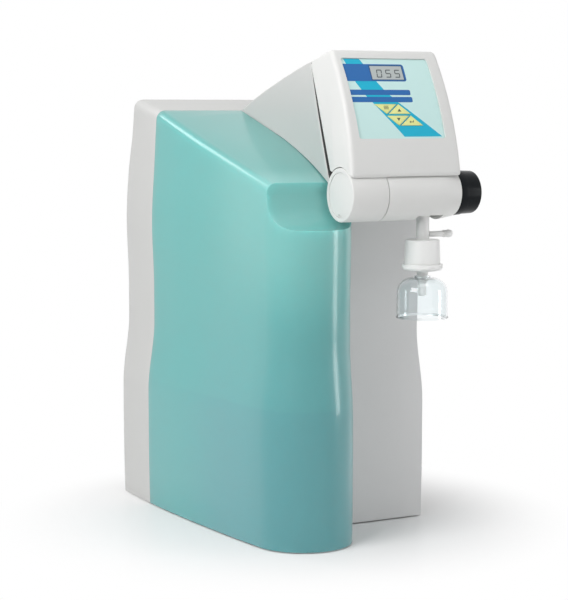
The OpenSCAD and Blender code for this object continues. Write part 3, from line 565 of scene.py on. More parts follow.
def neck_rings(round_r=2.4, edge_r=1.1, steps=6):
    """Tilting sections from the seam to the groove, the last ones drawn in for a rounded edge."""
    c = neck_arc()

    def arc_z(y):
        return c.y + math.sqrt(NECK_TOP_R ** 2 - (y - c.x) ** 2)

    rings = []
    stops = [(t, 0.0) for t in spread(0.004, 1.0, 46)]
    stops += [(1.0, a) for a in spread(15, 90, 6)]
    for t, a in stops:
        # section line from the deck up to the arc
        front_v = NECK_FRONT_V - edge_r * (1 - sind(a))
        inset = edge_r * (1 - cosd(a))
        foot_end = groove_point(GROOVE_FOOT, front_v)
        head_y = groove_point(0.0, front_v)[0]
        rise = foot_end[1] - deck_top(foot_end[0]) - SEAM_GAP
        ya = SEAM_Y + (foot_end[0] - SEAM_Y) * t
        za = deck_top(ya) + SEAM_GAP + rise * t ** 6
        yb = SEAM_Y + (head_y - SEAM_Y) * t
        span = Vector((yb - ya, arc_z(yb) - za))
        height = span.length
        rr = min(round_r, height * 0.45)
        # distance up the section and how far the round top edge is drawn in there
        marks = [(inset + (height - rr - inset) * k, 0.0) for k in spread(0.0, 1.0, 12)]
        for b in spread(90 / steps, 90, steps):
            marks.append((height - rr + (rr - inset) * sind(b), (rr - inset) * (1 - cosd(b))))
        left, right = [], []
        for up, drawn in marks:
            share = up / height
            y, z = Vector((ya, za)) + span * share
            left.append((neck_side(y, share, False, inset) + drawn, y, z))
            right.append((neck_side(y, share, True, inset) - drawn, y, z))
        rings.append(left + list(reversed(right)))
    return rings


def lean_x(z):
    """Sideways lean of the head's right end, whose lower part stands a little further right."""
    return SWAY - 2 * SWAY * (z - SWAY_Z) / SWAY_H


def head_stations():
    """Arcs of the head's side view: curl, face, brow, and the two corners along the groove."""
    curl = (FACE_Y - (FACE_R - CURL_R) * cosd(CURL_ANGLE), FACE_Z + (FACE_R - CURL_R) * sind(CURL_ANGLE))
    brow = (FACE_Y - (FACE_R - BROW_R) * cosd(BROW_ANGLE), FACE_Z + (FACE_R - BROW_R) * sind(BROW_ANGLE))
    heel = groove_point(HEEL_U, HEEL_V)
    sole = groove_point(SOLE_U, HEEL_V)
    out = [(*curl, CURL_R, a) for a in spread(-60, CURL_ANGLE, 12)]
    out += [(FACE_Y, FACE_Z, FACE_R, a) for a in spread(CURL_ANGLE + 0.8, BROW_ANGLE - 0.8, 30)]
    out += [(*brow, BROW_R, a) for a in spread(BROW_ANGLE, BROW_END, 14)]
    out += [(*heel, HEEL_R, a) for a in spread(BROW_END, 180 + LEAN, 10)]
    out += [(*sole, HEEL_R, a) for a in spread(180 + LEAN, 270, 8)]
    return out


def head_rings(r=5.0, back_share=0.3):
    """Rings along x with rounded ends; the back edges are rounded less than the front ones."""
    def ring(x, inset):
        made = []
        share = (x - HEAD_LEFT) / (HEAD_RIGHT - HEAD_LEFT)
        for cy, cz, radius, a in head_stations():
            r_here = radius - inset * (back_share if radius == HEEL_R else 1.0)
            z = cz + r_here * sind(a)
            made.append((x + share * lean_x(z), cy - r_here * cosd(a), z))
        return made
    ends = spread(0, 90, 8)
    out = [ring(HEAD_RIGHT - r * (1 - cosd(a)), r * (1 - sind(a))) for a in ends]
    out += [ring(x, 0.0) for x in spread(HEAD_RIGHT - r - 2, HEAD_LEFT + r + 2, 8)]
    out += [ring(HEAD_LEFT + r * (1 - cosd(a)), r * (1 - sind(a))) for a in reversed(ends)]
    return out


def on_face(x, s, r):
    """A point on the curved face: s is the angle above the face's centre in degrees."""
    return (x, FACE_Y - r * cosd(s), FACE_Z + r * sind(s))


def angle_of(z):
    """Face angle of a height on the face."""
    return math.degrees(math.asin((z - FACE_Z) / FACE_R))


def leaning(outline):
    """Moves an outline's points sideways with the head's lean."""
    return [(x + lean_x(on_face(0, a, FACE_R)[2]), a) for x, a in outline]


def face_plate(bm, outline, r0, r1, step=0.6):
    """A plate bent on the face; outline is (x, angle) pairs."""
    bm.faces.new([bm.verts.new((x, a, 0.0)) for x, a in outline])
    a = min(a for _, a in outline) + step
    highest = max(a for _, a in outline)
    while a < highest - 0.02:
        geom = list(bm.verts) + list(bm.edges) + list(bm.faces)
        bmesh.ops.bisect_plane(bm, geom=geom, plane_co=(0, a, 0), plane_no=(0, 1, 0), dist=1e-5)
        a += step
    made = bmesh.ops.extrude_face_region(bm, geom=list(bm.faces))
    for v in made["geom"]:
        if isinstance(v, bmesh.types.BMVert):
            v.co.z = 1.0
    for v in bm.verts:
        v.co = Vector(on_face(v.co.x, v.co.y, r1 if v.co.z > 0.5 else r0))


def rounded(x0, x1, a0, a1, r, corners=(1, 1, 1, 1), steps=5):
    """Outline of a window on the face with corners of r mm, counter-clockwise from the lower left."""
    k = 180 / math.pi / FACE_R
    places = ((x0, a0, 1, 1, 180), (x1, a0, -1, 1, 270), (x1, a1, -1, -1, 0), (x0, a1, 1, -1, 90))
    pts = []
    for on, (x, a, sx, sa, start) in zip(corners, places):
        if not on:
            pts.append((x, a))
            continue
        for t in spread(start, start + 90, steps + 1):
            pts.append((x + sx * r + r * cosd(t), a + sa * r * k + r * k * sind(t)))
    return pts


def prism(bm, base, axes, outline, r0, r1):
    """A straight prism of (across, up) points between two distances along out."""
    out, rise = axes
    foot = [base + out * r0 + Vector((px, 0, 0)) + rise * pz for px, pz in outline]
    face = bm.faces.new([bm.verts.new(p) for p in foot])
    made = bmesh.ops.extrude_face_region(bm, geom=[face])["geom"]
    top = [v for v in made if isinstance(v, bmesh.types.BMVert)]
    bmesh.ops.translate(bm, vec=out * (r1 - r0), verts=top)


def face_axes(a):
    """Directions out of the face and up along it at an angle."""
    return Vector((0, -cosd(a), sind(a))), Vector((0, sind(a), cosd(a)))


def key_solid(bm, key, r0, r1, grow):
    """A triangular prism square to the face at its middle, grown about the triangle's inner circle."""
    x, a, up = key
    tip = 1 if up else -1
    half = KEY_SIDE / 2
    inner = half * KEY_H / (half + math.hypot(half, KEY_H))
    k = 1 + grow / inner
    mid = inner - KEY_H / 2
    pts = [(-half * k, tip * (mid - inner * k)), (half * k, tip * (mid - inner * k)),
           (0, tip * (mid + (KEY_H - inner) * k))]
    if not up:
        pts.reverse()
    prism(bm, Vector((x, FACE_Y, FACE_Z)), face_axes(a), pts, r0, r1)


def cut_keys(obj):
    """Opens obj for the keys, with their clearance."""
    for key in KEYS:
        cut(obj, lambda bm, key=key: key_solid(bm, key, FACE_R - 6, FACE_R + 1, KEY_GAP))
    shade(obj, 30)


# --- property groups --------------------------------------------------------------------

class TankLook(bpy.types.PropertyGroup):
    """Colours and edge of the tank"""
    colour: bpy.props.StringProperty(
        name="Colour", description="Tank colour as hex", default="#6DBDB8")
    deep: bpy.props.StringProperty(
        name="Deep", description="Colour low in the tank as hex", default="#62A4AC")
    # painted shade: a darker tone on the nose's lower front, where it turns away from the lights
    front_shade: bpy.props.StringProperty(
        name="Dark", description="Colour of the tank's deep front as hex", default="#2F7F84")
    # painted shade: a deeper tone on the side wall towards the back, which gets less of the front-left light
    side: bpy.props.StringProperty(
        name="Side", description="Colour of the flat side towards the back as hex", default="#4FB8B4")
    # painted highlight: a pale tone on the upper front of the nose
    upper_highlight: bpy.props.StringProperty(
        name="Glow", description="Colour of the empty upper front as hex", default="#93CDC8")
    # painted shade: a darker tone on the deck's upward faces, set against their pale sheen
    deck: bpy.props.StringProperty(
        name="Deck", description="Colour seen down through the deck as hex", default="#4FA9A3")
    rough: bpy.props.FloatProperty(
        name="Roughness", description="Surface roughness", default=0.3, min=0, max=1)
    rim: bpy.props.FloatProperty(
        name="Rim", description="Rounding of the scoop's rim, mm", default=4.0, min=0.5, max=4)


class CoverLook(bpy.types.PropertyGroup):
    """Colours of the casing"""
    white: bpy.props.StringProperty(
        name="White", description="Cover colour as hex", default="#D6D6D4")
    # a lighter copy of the cover white: partly a whiter plastic, partly painted light for the strong light on
    # head and arm
    bright: bpy.props.StringProperty(
        name="Head and arm", description="Colour of head and arm as hex", default="#E7E7E5")
    panel: bpy.props.StringProperty(
        name="Panel", description="Front panel colour as hex", default="#E0E0E0")
    rough: bpy.props.FloatProperty(
        name="Roughness", description="Surface roughness", default=0.42, min=0, max=1)


class FoilLook(bpy.types.PropertyGroup):
    """Colours of the printed foil"""
    mint: bpy.props.StringProperty(
        name="Ground", description="Foil ground as hex", default="#D2F3F0")
    cyan: bpy.props.StringProperty(
        name="Band", description="Slanting band as hex", default="#00B7D8")
    blue: bpy.props.StringProperty(
        name="Bars", description="Bars as hex", default="#1D69B0")
    keys: bpy.props.StringProperty(
        name="Keys", description="Key fields as hex", default="#F1F2A0")


class StageLook(bpy.types.PropertyGroup):
    """Studio light and floor"""
    key: bpy.props.FloatProperty(
        name="Key light", description="Power of the left light", default=8.8, subtype="POWER")
    top: bpy.props.FloatProperty(
        name="Top light", description="Power of the top light", default=8.5, subtype="POWER")
    front: bpy.props.FloatProperty(
        name="Front light", description="Power of the front window", default=4.8, subtype="POWER")
    back: bpy.props.FloatProperty(
        name="Back light", description="Power of the upper back light", default=3.0, subtype="POWER")
    world: bpy.props.FloatProperty(
        name="World", description="Strength of the surrounding light", default=0.27, min=0, max=4)


GROUPS = (("purifier_tank", TankLook), ("purifier_cover", CoverLook), ("purifier_foil", FoilLook),
          ("purifier_stage", StageLook))


# --- operators --------------------------------------------------------------------------

class PURIFIER_OT_tank(bpy.types.Operator):
    """Builds the translucent side tank"""
    bl_idname = "purifier.tank"
    bl_label = "Tank"

    def execute(self, context):
        look = context.scene.purifier_tank
        # translucent polyethylene, dyed through
        mat = plastic("dyed_polyethylene", look.colour, rough=look.rough, grain=0.5, bump=0.02, tint=0.04,
                      Subsurface_Weight=0.5, Subsurface_Radius=(0.01, 0.03, 0.03), Subsurface_Scale=1.0,
                      Coat_Weight=0.5, Coat_Roughness=0.1)
        # the water line, painted shade and a painted highlight go into the tank's colour
        self.water_and_painted_light(mat, look)
        bm = bmesh.new()
        tank_mesh(bm)
        tank = new_object("tank_body", bm, mat)
        bevel(tank, look.rim, angle=38, segments=4)
        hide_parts("tank")
        return {"FINISHED"}

    def water_and_painted_light(self, mat, look):
        """Paints slow tone changes, in metres: a water line, a tone darker and bluer towards the bottom,
        painted shade on the nose's lower front, the side's back and the deck, and a painted highlight on the
        upper front.
        """
        tree = mat.node_tree
        shader = next(n for n in tree.nodes if n.type == "BSDF_PRINCIPLED")
        colour = shader.inputs["Base Color"].links[0].from_socket
        coords = next(n for n in tree.nodes if n.type == "TEX_COORD")
        axes = add(tree, "ShaderNodeSeparateXYZ", (-600, 600))
        tree.links.new(coords.outputs["Object"], axes.inputs[0])

        def ramp(source, low, high, place, kind="SMOOTHSTEP"):
            node = add(tree, "ShaderNodeMapRange", place)
            node.interpolation_type = kind
            node.inputs["From Min"].default_value = low
            node.inputs["From Max"].default_value = high
            tree.links.new(source, node.inputs["Value"])
            return node.outputs["Result"]

        def product(a, b, place):
            node = add(tree, "ShaderNodeMath", place)
            node.operation = "MULTIPLY"
            tree.links.new(a, node.inputs[0])
            tree.links.new(b, node.inputs[1])
            return node.outputs[0]

        def tone(factor, code, strength, under, place):
            part = add(tree, "ShaderNodeMath", (place[0] - 150, place[1]))
            part.operation = "MULTIPLY"
            part.inputs[1].default_value = strength
            tree.links.new(factor, part.inputs[0])
            node = add(tree, "ShaderNodeMix", place)
            node.data_type = "RGBA"
            node.inputs["B"].default_value = linear(code)
            tree.links.new(part.outputs[0], node.inputs["Factor"])
            tree.links.new(under, node.inputs["A"])
            return node.outputs["Result"]

        y, z = axes.outputs["Y"], axes.outputs["Z"]
        deep = ramp(z, 0.40, 0.0, (-300, 900))
        colour = tone(deep, look.deep, 0.7, colour, (0, 900))
        water = ramp(z, 0.157, 0.153, (-300, 1200))
        colour = tone(water, look.deep, 0.3, colour, (200, 1200))
        # painted shade: darker on the lower front of the nose
        front = product(ramp(y, -0.11, -0.18, (-300, 1500)), ramp(z, 0.32, 0.20, (-300, 1700)), (0, 1600))
        colour = tone(front, look.front_shade, 0.28, colour, (400, 1500))
        # painted shade: the side wall darker towards the back
        colour = tone(ramp(y, -0.09, 0.05, (-300, 2500)), look.side, 0.6, colour, (1000, 1500))
        # painted highlight: paler on the upper front of the nose
        upper_highlight = product(ramp(y, -0.02, -0.12, (-300, 2700)), ramp(z, 0.24, 0.34, (-300, 2900)), (0, 2800))
        colour = tone(upper_highlight, look.upper_highlight, 0.35, colour, (1200, 1500))
        # faces that look up, above the scoop, are the deck, and painted shade darkens them
        facing = add(tree, "ShaderNodeNewGeometry", (-900, 1900))
        rise = add(tree, "ShaderNodeSeparateXYZ", (-600, 1900))
        tree.links.new(facing.outputs["Normal"], rise.inputs[0])
        above = ramp(rise.outputs["Z"], 0.75, 0.95, (-300, 1900), "LINEAR")
        high = product(above, ramp(z, 0.400, 0.415, (-300, 2100)), (0, 1900))
        colour = tone(high, look.deck, 0.8, colour, (600, 1700))
        # light that the tank throws on the white covers is kept nearly neutral
        path = add(tree, "ShaderNodeLightPath", (300, 2300))
        colour = tone(path.outputs["Is Diffuse Ray"], "#B4C2C1", 0.7, colour, (800, 1700))
        tree.links.new(colour, shader.inputs["Base Color"])


class PURIFIER_OT_covers(bpy.types.Operator):
    """Builds rear shell, right cover and neck"""
    bl_idname = "purifier.covers"
    bl_label = "Covers"

    def execute(self, context):
        look = context.scene.purifier_cover
        # satin moulded polystyrene
        mat = plastic("satin_polystyrene", look.white, rough=look.rough)
        bm = bmesh.new()
        loft(bm, cover_rings(shell_stations(SEAM_Y), WALL_LOW, 0.0, shell_top))
        shell = new_object("rear_casing", bm, mat)

        def openings(bm):
            """Windows for the mains inlet and for the rocker switch."""
            slab(bm, (54.5, -30, 58), (85.5, 5, 82))
            slab(bm, (19, -30, 55), (41, 5, 85))
        cut(shell, openings)
        bevel(shell, 0.8, angle=50, segments=2)
        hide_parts("rear_shell")

        bm = bmesh.new()
        front, back, left = PANEL_Y + 2.9, SEAM_Y - SEAM_GAP, TANK_RIGHT + SEAM_GAP
        loft(bm, cover_rings(deck_stations(front, back, left), WALL_LOW, 0.0, deck_top))
        cover = new_object("right_casing", bm, mat)
        # the hollow is open to the front, the back, the left and the bench
        inner = cover_rings(deck_stations(front - 20, back + 20, left - 20), WALL_LOW - 1, 2.5, deck_top)
        cut(cover, lambda b: loft(b, inner))
        shade(cover, 32)
        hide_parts("right_cover")

        bm = bmesh.new()
        loft(bm, neck_rings())
        neck = new_object("neck_casing", bm, mat, sharp=40)
        # the neck's closed front end face is painted dark grey: painted shade for the inside of the groove
        neck.data.materials.append(plastic("shaded_polystyrene", "#4A4A4A", rough=0.6))
        front = max(neck.data.polygons, key=lambda f: (len(f.vertices) > 4) * -f.center.y)
        front.material_index = 1
        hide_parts("neck_cover")
        return {"FINISHED"}


class PURIFIER_OT_head(bpy.types.Operator):
    """Builds the display head"""
    bl_idname = "purifier.head"
    bl_label = "Head"

    def execute(self, context):
        look = context.scene.purifier_cover
        # satin moulded polystyrene in a lighter copy: partly a whiter plastic, partly painted light for the
        # strong light on head and arm
        mat = plastic("lit_polystyrene", look.bright, rough=look.rough)
        bm = bmesh.new()
        loft(bm, head_rings())
        head = new_object("head_casing", bm, mat)
        # the gap over the right sleeve is the wider one
        x0, x1 = HEAD_LEFT - 10, HEAD_RIGHT + 10
        r_left, r_right = ARM_R + 0.9, ARM_R + 1.7
        hollow = [(0, x0), (r_left, x0), (r_left, SLEEVE_SEAM), (r_right, SLEEVE_SEAM), (r_right, x1),
                  (0, x1)]
        cut(head, lambda b: lathe(b, hollow, (0, ARM_Y, ARM_Z), axis="X", segments=128))
        window = leaning(rounded(FOIL_LEFT, FOIL_LEFT + FOIL_W, FOIL_LOW, FOIL_HIGH, 3.0))
        cut(head, lambda b: face_plate(b, window, FACE_R - 2.0, FACE_R + 3))
        cut_keys(head)
        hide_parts("head_cover")
        return {"FINISHED"}


class PURIFIER_OT_foil(bpy.types.Operator):
    """Builds the printed foil, its display and its keys"""
    bl_idname = "purifier.foil"
    bl_label = "Foil"

    def execute(self, context):
        look = context.scene.purifier_foil
        # back-printed polyester film
        colours = {"mint": look.mint, "cyan": look.cyan, "blue": look.blue, "keys": look.keys,
                   "lcd": "#BBC2C1", "digit": "#525A5E", "ink": "#4A5A4A", "bezel": "#24507E"}
        film = {name: plastic("film_" + name, code, rough=0.3, grain=0.3, bump=0.01, tint=0.01)
                for name, code in colours.items()}
        # play between the foil and its pocket, in degrees up the face and in mm across it
        low, high = FOIL_LOW + 0.06, FOIL_HIGH - 0.06
        left, right = FOIL_LEFT + 0.3, FOIL_LEFT + FOIL_W - 0.3

        def sheet(name, outline, colour, lift, body="casing", slot="foil", thick=0.04):
            bm = bmesh.new()
            face_plate(bm, outline, FOIL_R + lift - thick, FOIL_R + lift)
            obj = new_object(name, bm, film[colour], body=body)
            return obj

        ground = sheet("foil_ground", leaning(rounded(left, right, low, high, 2.6)), "mint", 0.0, thick=0.55)
        cut_keys(ground)
        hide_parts("display_foil")
        band = [(x - LAYOUT_X, angle_of(z)) for x, z in
                ((102.9, 533.6), (104.5, 529.0), (111.0, 508.3), (116.0, 500.6), (120.0, 494.0),
                 (127.0, 486.4), (160.7, 449.6), (209.0, 449.6), (159.6, 486.4), (151.0, 494.0),
                 (144.0, 500.6), (138.0, 508.3), (124.0, 531.8), (122.5, 533.6))]
        strip = sheet("foil_band", list(reversed(band)), "cyan", 0.05)
        cut_keys(strip)
        for name, x1, z0, z1, r in (("bar_top", 176, 509.4, 528.0, 3.0), ("bar_mid", 177, 494.5, 500.2, 1.6),
                                    ("bar_low", 178, 486.8, 492.5, 1.6)):
            bar = rounded(left, x1 - LAYOUT_X, angle_of(z0), angle_of(z1), r, (0, 1, 1, 0))
            bar = [(x + lean_x((z0 + z1) / 2) if x == left else x, a) for x, a in bar]
            sheet(name, bar, "blue", 0.1)
        sheet("lcd_bezel", rounded(0.9, 43.1, angle_of(510.4), angle_of(526.9), 0.8), "bezel", 0.14)
        window = rounded(2.2, 41.8, angle_of(511.4), angle_of(525.9), 0.4)
        glass = sheet("lcd_glass", window, "lcd", 0.18, slot="lcd")
        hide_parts("lcd_module")
        self.digits(sheet)
        for i, key in enumerate(KEYS, 1):
            self.key(i, key, film)
        return {"FINISHED"}

    def digits(self, sheet):
        """Three plain seven-segment digits, upright with a slight slant."""
        lit = {"0": "abcdef", "5": "acdfg"}
        w, h, t = 6.8, 9.8, 1.2
        first, pitch, slant = 8.2, 11.4, 0.12
        k = 180 / math.pi / FACE_R
        base = angle_of(513.4)

        def quad(x0, x1, y0, y1):
            return [(x + y * slant, base + y * k) for x, y in ((x0, y0), (x1, y0), (x1, y1), (x0, y1))]
        for n, digit in enumerate("055"):
            x = first + n * pitch
            across = (x + 0.7, x + w - 0.7)
            upper, lower = (h / 2 + 0.3, h - 0.4), (0.4, h / 2 - 0.3)
            bars = {"a": quad(*across, h - t, h), "d": quad(*across, 0, t),
                    "g": quad(*across, h / 2 - t / 2, h / 2 + t / 2),
                    "f": quad(x, x + t, *upper), "b": quad(x + w - t, x + w, *upper),
                    "e": quad(x, x + t, *lower), "c": quad(x + w - t, x + w, *lower)}
            for name in lit[digit]:
                sheet(f"digit_{n}_{name}", bars[name], "digit", 0.22, slot="lcd")

    def key(self, number, key, film):
        """One key pad and its plain symbol: lines, a rising arrow, a falling arrow or a bent arrow."""
        x, a, up = key
        bm = bmesh.new()
        key_solid(bm, key, FACE_R - 5.2, KEY_TOP, 0.0)
        pad = new_object(f"pad_{number}", bm, film["keys"], body=f"key_{number}")
        bevel(pad, 0.25, segments=2)
        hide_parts(f"key_{number}")
        marks = {1: [[(-3, y), (3, y), (3, y + 0.7), (-3, y + 0.7)] for y in (-1.8, -0.3, 1.2)],
                 2: [[(-2.4, -1.4), (2.4, -1.4), (0, 2.0)]],
                 3: [[(0, -2.0), (2.4, 1.4), (-2.4, 1.4)]],
                 4: [[(-2.6, -0.4), (2.6, -0.4), (2.6, 0.4), (-2.6, 0.4)],
                     [(-2.7, 0.0), (-1.2, -1.6), (-1.2, 1.6)],
                     [(1.9, 0.2), (2.6, 0.2), (2.6, 2.0), (1.9, 2.0)]]}[number]
        axes = face_axes(a)
        # the symbol sits in the triangle's wider half
        base = Vector((x, FACE_Y, FACE_Z)) + axes[1] * (-1.6 if up else 1.6)
        bm = bmesh.new()
        for n, mark in enumerate(marks):
            prism(bm, base, axes, mark, KEY_TOP - 0.04, KEY_TOP + 0.03 + 0.004 * n)
        symbol = new_object(f"symbol_{number}", bm, film["ink"], body=f"key_{number}")


class PURIFIER_OT_arm(bpy.types.Operator):
    """Builds the arm's sleeves, end cap and knob"""
    bl_idname = "purifier.arm"
    bl_label = "Arm"

    def execute(self, context):
        look = context.scene.purifier_cover
        # satin moulded polystyrene in a lighter copy: partly a whiter plastic, partly painted light for the
        # strong light on head and arm
        mat = plastic("lit_polystyrene", look.bright, rough=look.rough)

        def turned(name, points, radii, mat=mat, body="casing"):
            bm = bmesh.new()
            lathe(bm, round_profile(points, radii), (0, ARM_Y, ARM_Z), axis="X", segments=128)
            return new_object(name, bm, mat, body=body)

        # left sleeve, with a seat for the cap in its end
        bore, seat_r, seat, half_seam = 20, 24.3, 8, 0.5
        x0, x1 = ARM_LEFT, SLEEVE_SEAM - half_seam
        left = turned("sleeve_left", [(seat_r, x0), (ARM_R, x0), (ARM_R, x1), (bore, x1), (bore, x0 + seat),
                                      (seat_r, x0 + seat)], [0.3, 1.4, 0.4, 0, 0, 0])
        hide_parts("arm_left_sleeve")

        cap_r = 24.0
        cap = turned("sleeve_cap", [(0, x0 + 0.6), (cap_r, x0 + 0.6), (cap_r, x0 + 4), (0, x0 + 4)],
                     [0, 0.5, 0, 0])
        slot_low, slot_high, slot_half, slot_deep = ARM_Z - 22.6, ARM_Z - 20.9, 4.2, 2.2
        cut(cap, lambda b: slab(b, (x0 - 1, ARM_Y - slot_half, slot_low),
                                (x0 + slot_deep, ARM_Y + slot_half, slot_high)))
        shade(cap, 30)
        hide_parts("arm_end_cap")

        # right sleeve: straight to the taper, then down to the knob
        start, end = SLEEVE_SEAM + half_seam, ARM_RIGHT
        taper, end_r, wall, end_bore, end_t = OUTLET_X + 16, 26.0, 3.0, 8, 6
        right = turned("sleeve_right", [(ARM_R, start), (ARM_R, taper), (end_r, end), (end_bore, end),
                                        (end_bore, end - end_t), (22, end - end_t), (ARM_R - wall, taper),
                                        (ARM_R - wall, start)], [0.4, 60, 0.6, 0, 0, 0, 0, 0])
        # slot for the outlet tube in the underside
        cut(right, lambda b: slab(b, (OUTLET_X - 16, ARM_Y - 17, ARM_Z - 31),
                                  (OUTLET_X + 16, ARM_Y + 10, ARM_Z - 15)))
        shade(right, 30)
        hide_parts("arm_right_sleeve")

        # polished black phenolic
        black = plastic("polished_phenolic", "#121619", rough=0.25, grain=0.4, bump=0.01,
                        Specular_IOR_Level=0.1)
        k0 = ARM_RIGHT + 0.4
        knob = turned("knob_body", [(0, k0), (25.6, k0), (24.9, k0 + 10), (24.3, k0 + 10.5), (23.6, k0 + 28),
                                    (0, k0 + 28)], [0, 0.5, 0.3, 0.3, 2.6, 0], mat=black, body="knob")
        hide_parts("knob")
        return {"FINISHED"}


class PURIFIER_OT_outlet(bpy.types.Operator):
    """Builds outlet tube, filter and filling bell"""
    bl_idname = "purifier.outlet"
    bl_label = "Outlet"

    def execute(self, context):
        # natural polypropylene, slightly see-through
        mat = plastic("natural_polypropylene", NATURAL, rough=0.35, Subsurface_Weight=0.3,
                      Subsurface_Radius=(0.006, 0.006, 0.006), Subsurface_Scale=1.0)
        axis = (OUTLET_X, ARM_Y, 0)

        def turned(name, points, radii, node, segments=96, origin=axis, direction="Z", body="casing"):
            bm = bmesh.new()
            lathe(bm, round_profile(points, radii), origin, axis=direction, segments=segments)
            obj = new_object(name, bm, mat, body=body)
            if node:
                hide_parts(node)

        def along_arm(name, points, radii, node, body="casing"):
            """The same about the vent branch, which runs along the arm."""
            turned(name, points, radii, node, segments=48, origin=(0, ARM_Y, VENT_Z), direction="X",
                   body=body)

        turned("tube", [(4, 336), (7.2, 336), (7.2, 373.8), (4, 373.8)], [0, 0, 0, 0], "outlet_tube")
        root_x, tip_x = OUTLET_X + 7.2, OUTLET_X + 30.5
        along_arm("tube_branch", [(1.5, root_x), (3.2, root_x), (3.2, tip_x), (1.5, tip_x)],
                  [0, 0, 0.3, 0], None)
        along_arm("vent_cap", [(0, tip_x + 0.3), (3.3, tip_x + 0.3), (3.3, tip_x - 3.9), (4.0, tip_x - 3.9),
                               (4.0, tip_x + 0.4), (4.6, tip_x + 3.2), (3.6, tip_x + 7.2), (0, tip_x + 7.9)],
                  [0, 0, 0.2, 0.3, 0.6, 2.0, 2.4, 0], "vent_screw", body="vent_screw")
        turned("capsule_upper", [(4, 309), (19.9, 309), (18.8, 336), (4, 336)], [0, 0.2, 1.6, 0],
               "filter_capsule")
        turned("capsule_lower", [(4, 301), (14, 301), (20.5, 302.4), (22.6, 304.6), (22.6, 309), (4, 309)],
               [0, 1, 2.5, 1.2, 0.7, 0], "filter_flange")
        turned("nipple", [(3, 273.5), (4.2, 273.5), (4.6, 276), (4.6, 290), (6.2, 291.5), (6.2, 294),
                          (5.4, 294.5), (5.4, 297), (6.4, 297.5), (6.4, 301), (3, 301)],
               [0, 0.3, 0.5, 0.5, 0.4, 0.4, 0.3, 0.3, 0.4, 0, 0], "filter_outlet", segments=64)

        # clear polycarbonate
        clear = plastic("clear_polycarbonate", "#F6FAFB", rough=0.03, grain=0.5, bump=0.004, tint=0.0,
                        Transmission_Weight=1.0, IOR=1.49)
        low, high, r, wall, dome = 249.0, 294.0, 28.2, 1.5, 17.0
        neck_r, neck_bore, neck_h, lip = 8.9, 6.4, 1.9, 0.8
        arc_x, arc_z = r - dome, high - dome
        outer = [(arc_x + dome * cosd(a), arc_z + dome * sind(a)) for a in spread(0, 90, 15)]
        inside = dome - wall
        inner = [(arc_x + inside * cosd(a), arc_z + inside * sind(a)) for a in spread(90, 0, 13)]
        profile = [(r - wall, low), (r, low), (r + lip, low + 0.5), (r + lip, low + 1.4), (r, low + 2.0)]
        profile += outer + [(neck_r, high), (neck_r, high + neck_h), (neck_bore, high + neck_h)]
        profile += [(neck_bore, high - wall)] + inner
        bm = bmesh.new()
        lathe(bm, profile, axis, segments=96)
        bell = new_object("bell_body", bm, clear)
        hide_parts("bell")
        return {"FINISHED"}


class PURIFIER_OT_frame_looks(bpy.types.Operator):
    """Gives every shown CAD node its material"""
    bl_idname = "purifier.frame_looks"
    bl_label = "Frame materials"

    def execute(self, context):
        cover = context.scene.purifier_cover
        looks = {
            "grey_plastic": plastic("grey_polystyrene", cover.panel, rough=0.45),
            "white_plastic": plastic("satin_polystyrene", cover.white, rough=cover.rough),
            "natural_plastic": plastic("natural_polypropylene", NATURAL, rough=0.35),
            "blue_plastic": plastic("blue_polypropylene", "#2B5FA6"),
            "red_plastic": plastic("red_polycarbonate", "#A3201C", rough=0.25),
            "black_plastic": plastic("black_polyamide", "#17181A", rough=0.4),
            "rubber_black": plastic("black_rubber", "#1B1B1B", rough=0.8, grain=0.8, bump=0.2),
            "board": plastic("green_solder_mask", "#1F6B3D", rough=0.4),
            "steel_sheet": plastic("powder_coated_steel", "#55565A", rough=0.55, grain=0.6, bump=0.15),
            "steel": metal("brushed_steel", "#B9BABC", rough=0.32),
            "aluminium": metal("plain_aluminium", "#C9CACC", rough=0.38),
            "brass": metal("plain_brass", "#C9A253", rough=0.3),
            "glass": plastic("lamp_glass", "#F2F5F8", rough=0.05, bump=0.0, Transmission_Weight=0.9),
        }
        slots = {s["node"]: s["material_slot"] for s in frame["record"]["subparts"]}
        for name, obj in frame["nodes"].items():
            if obj.hide_render or slots[name] not in looks:
                continue
            obj.data.materials.clear()
            obj.data.materials.append(looks[slots[name]])
        return {"FINISHED"}


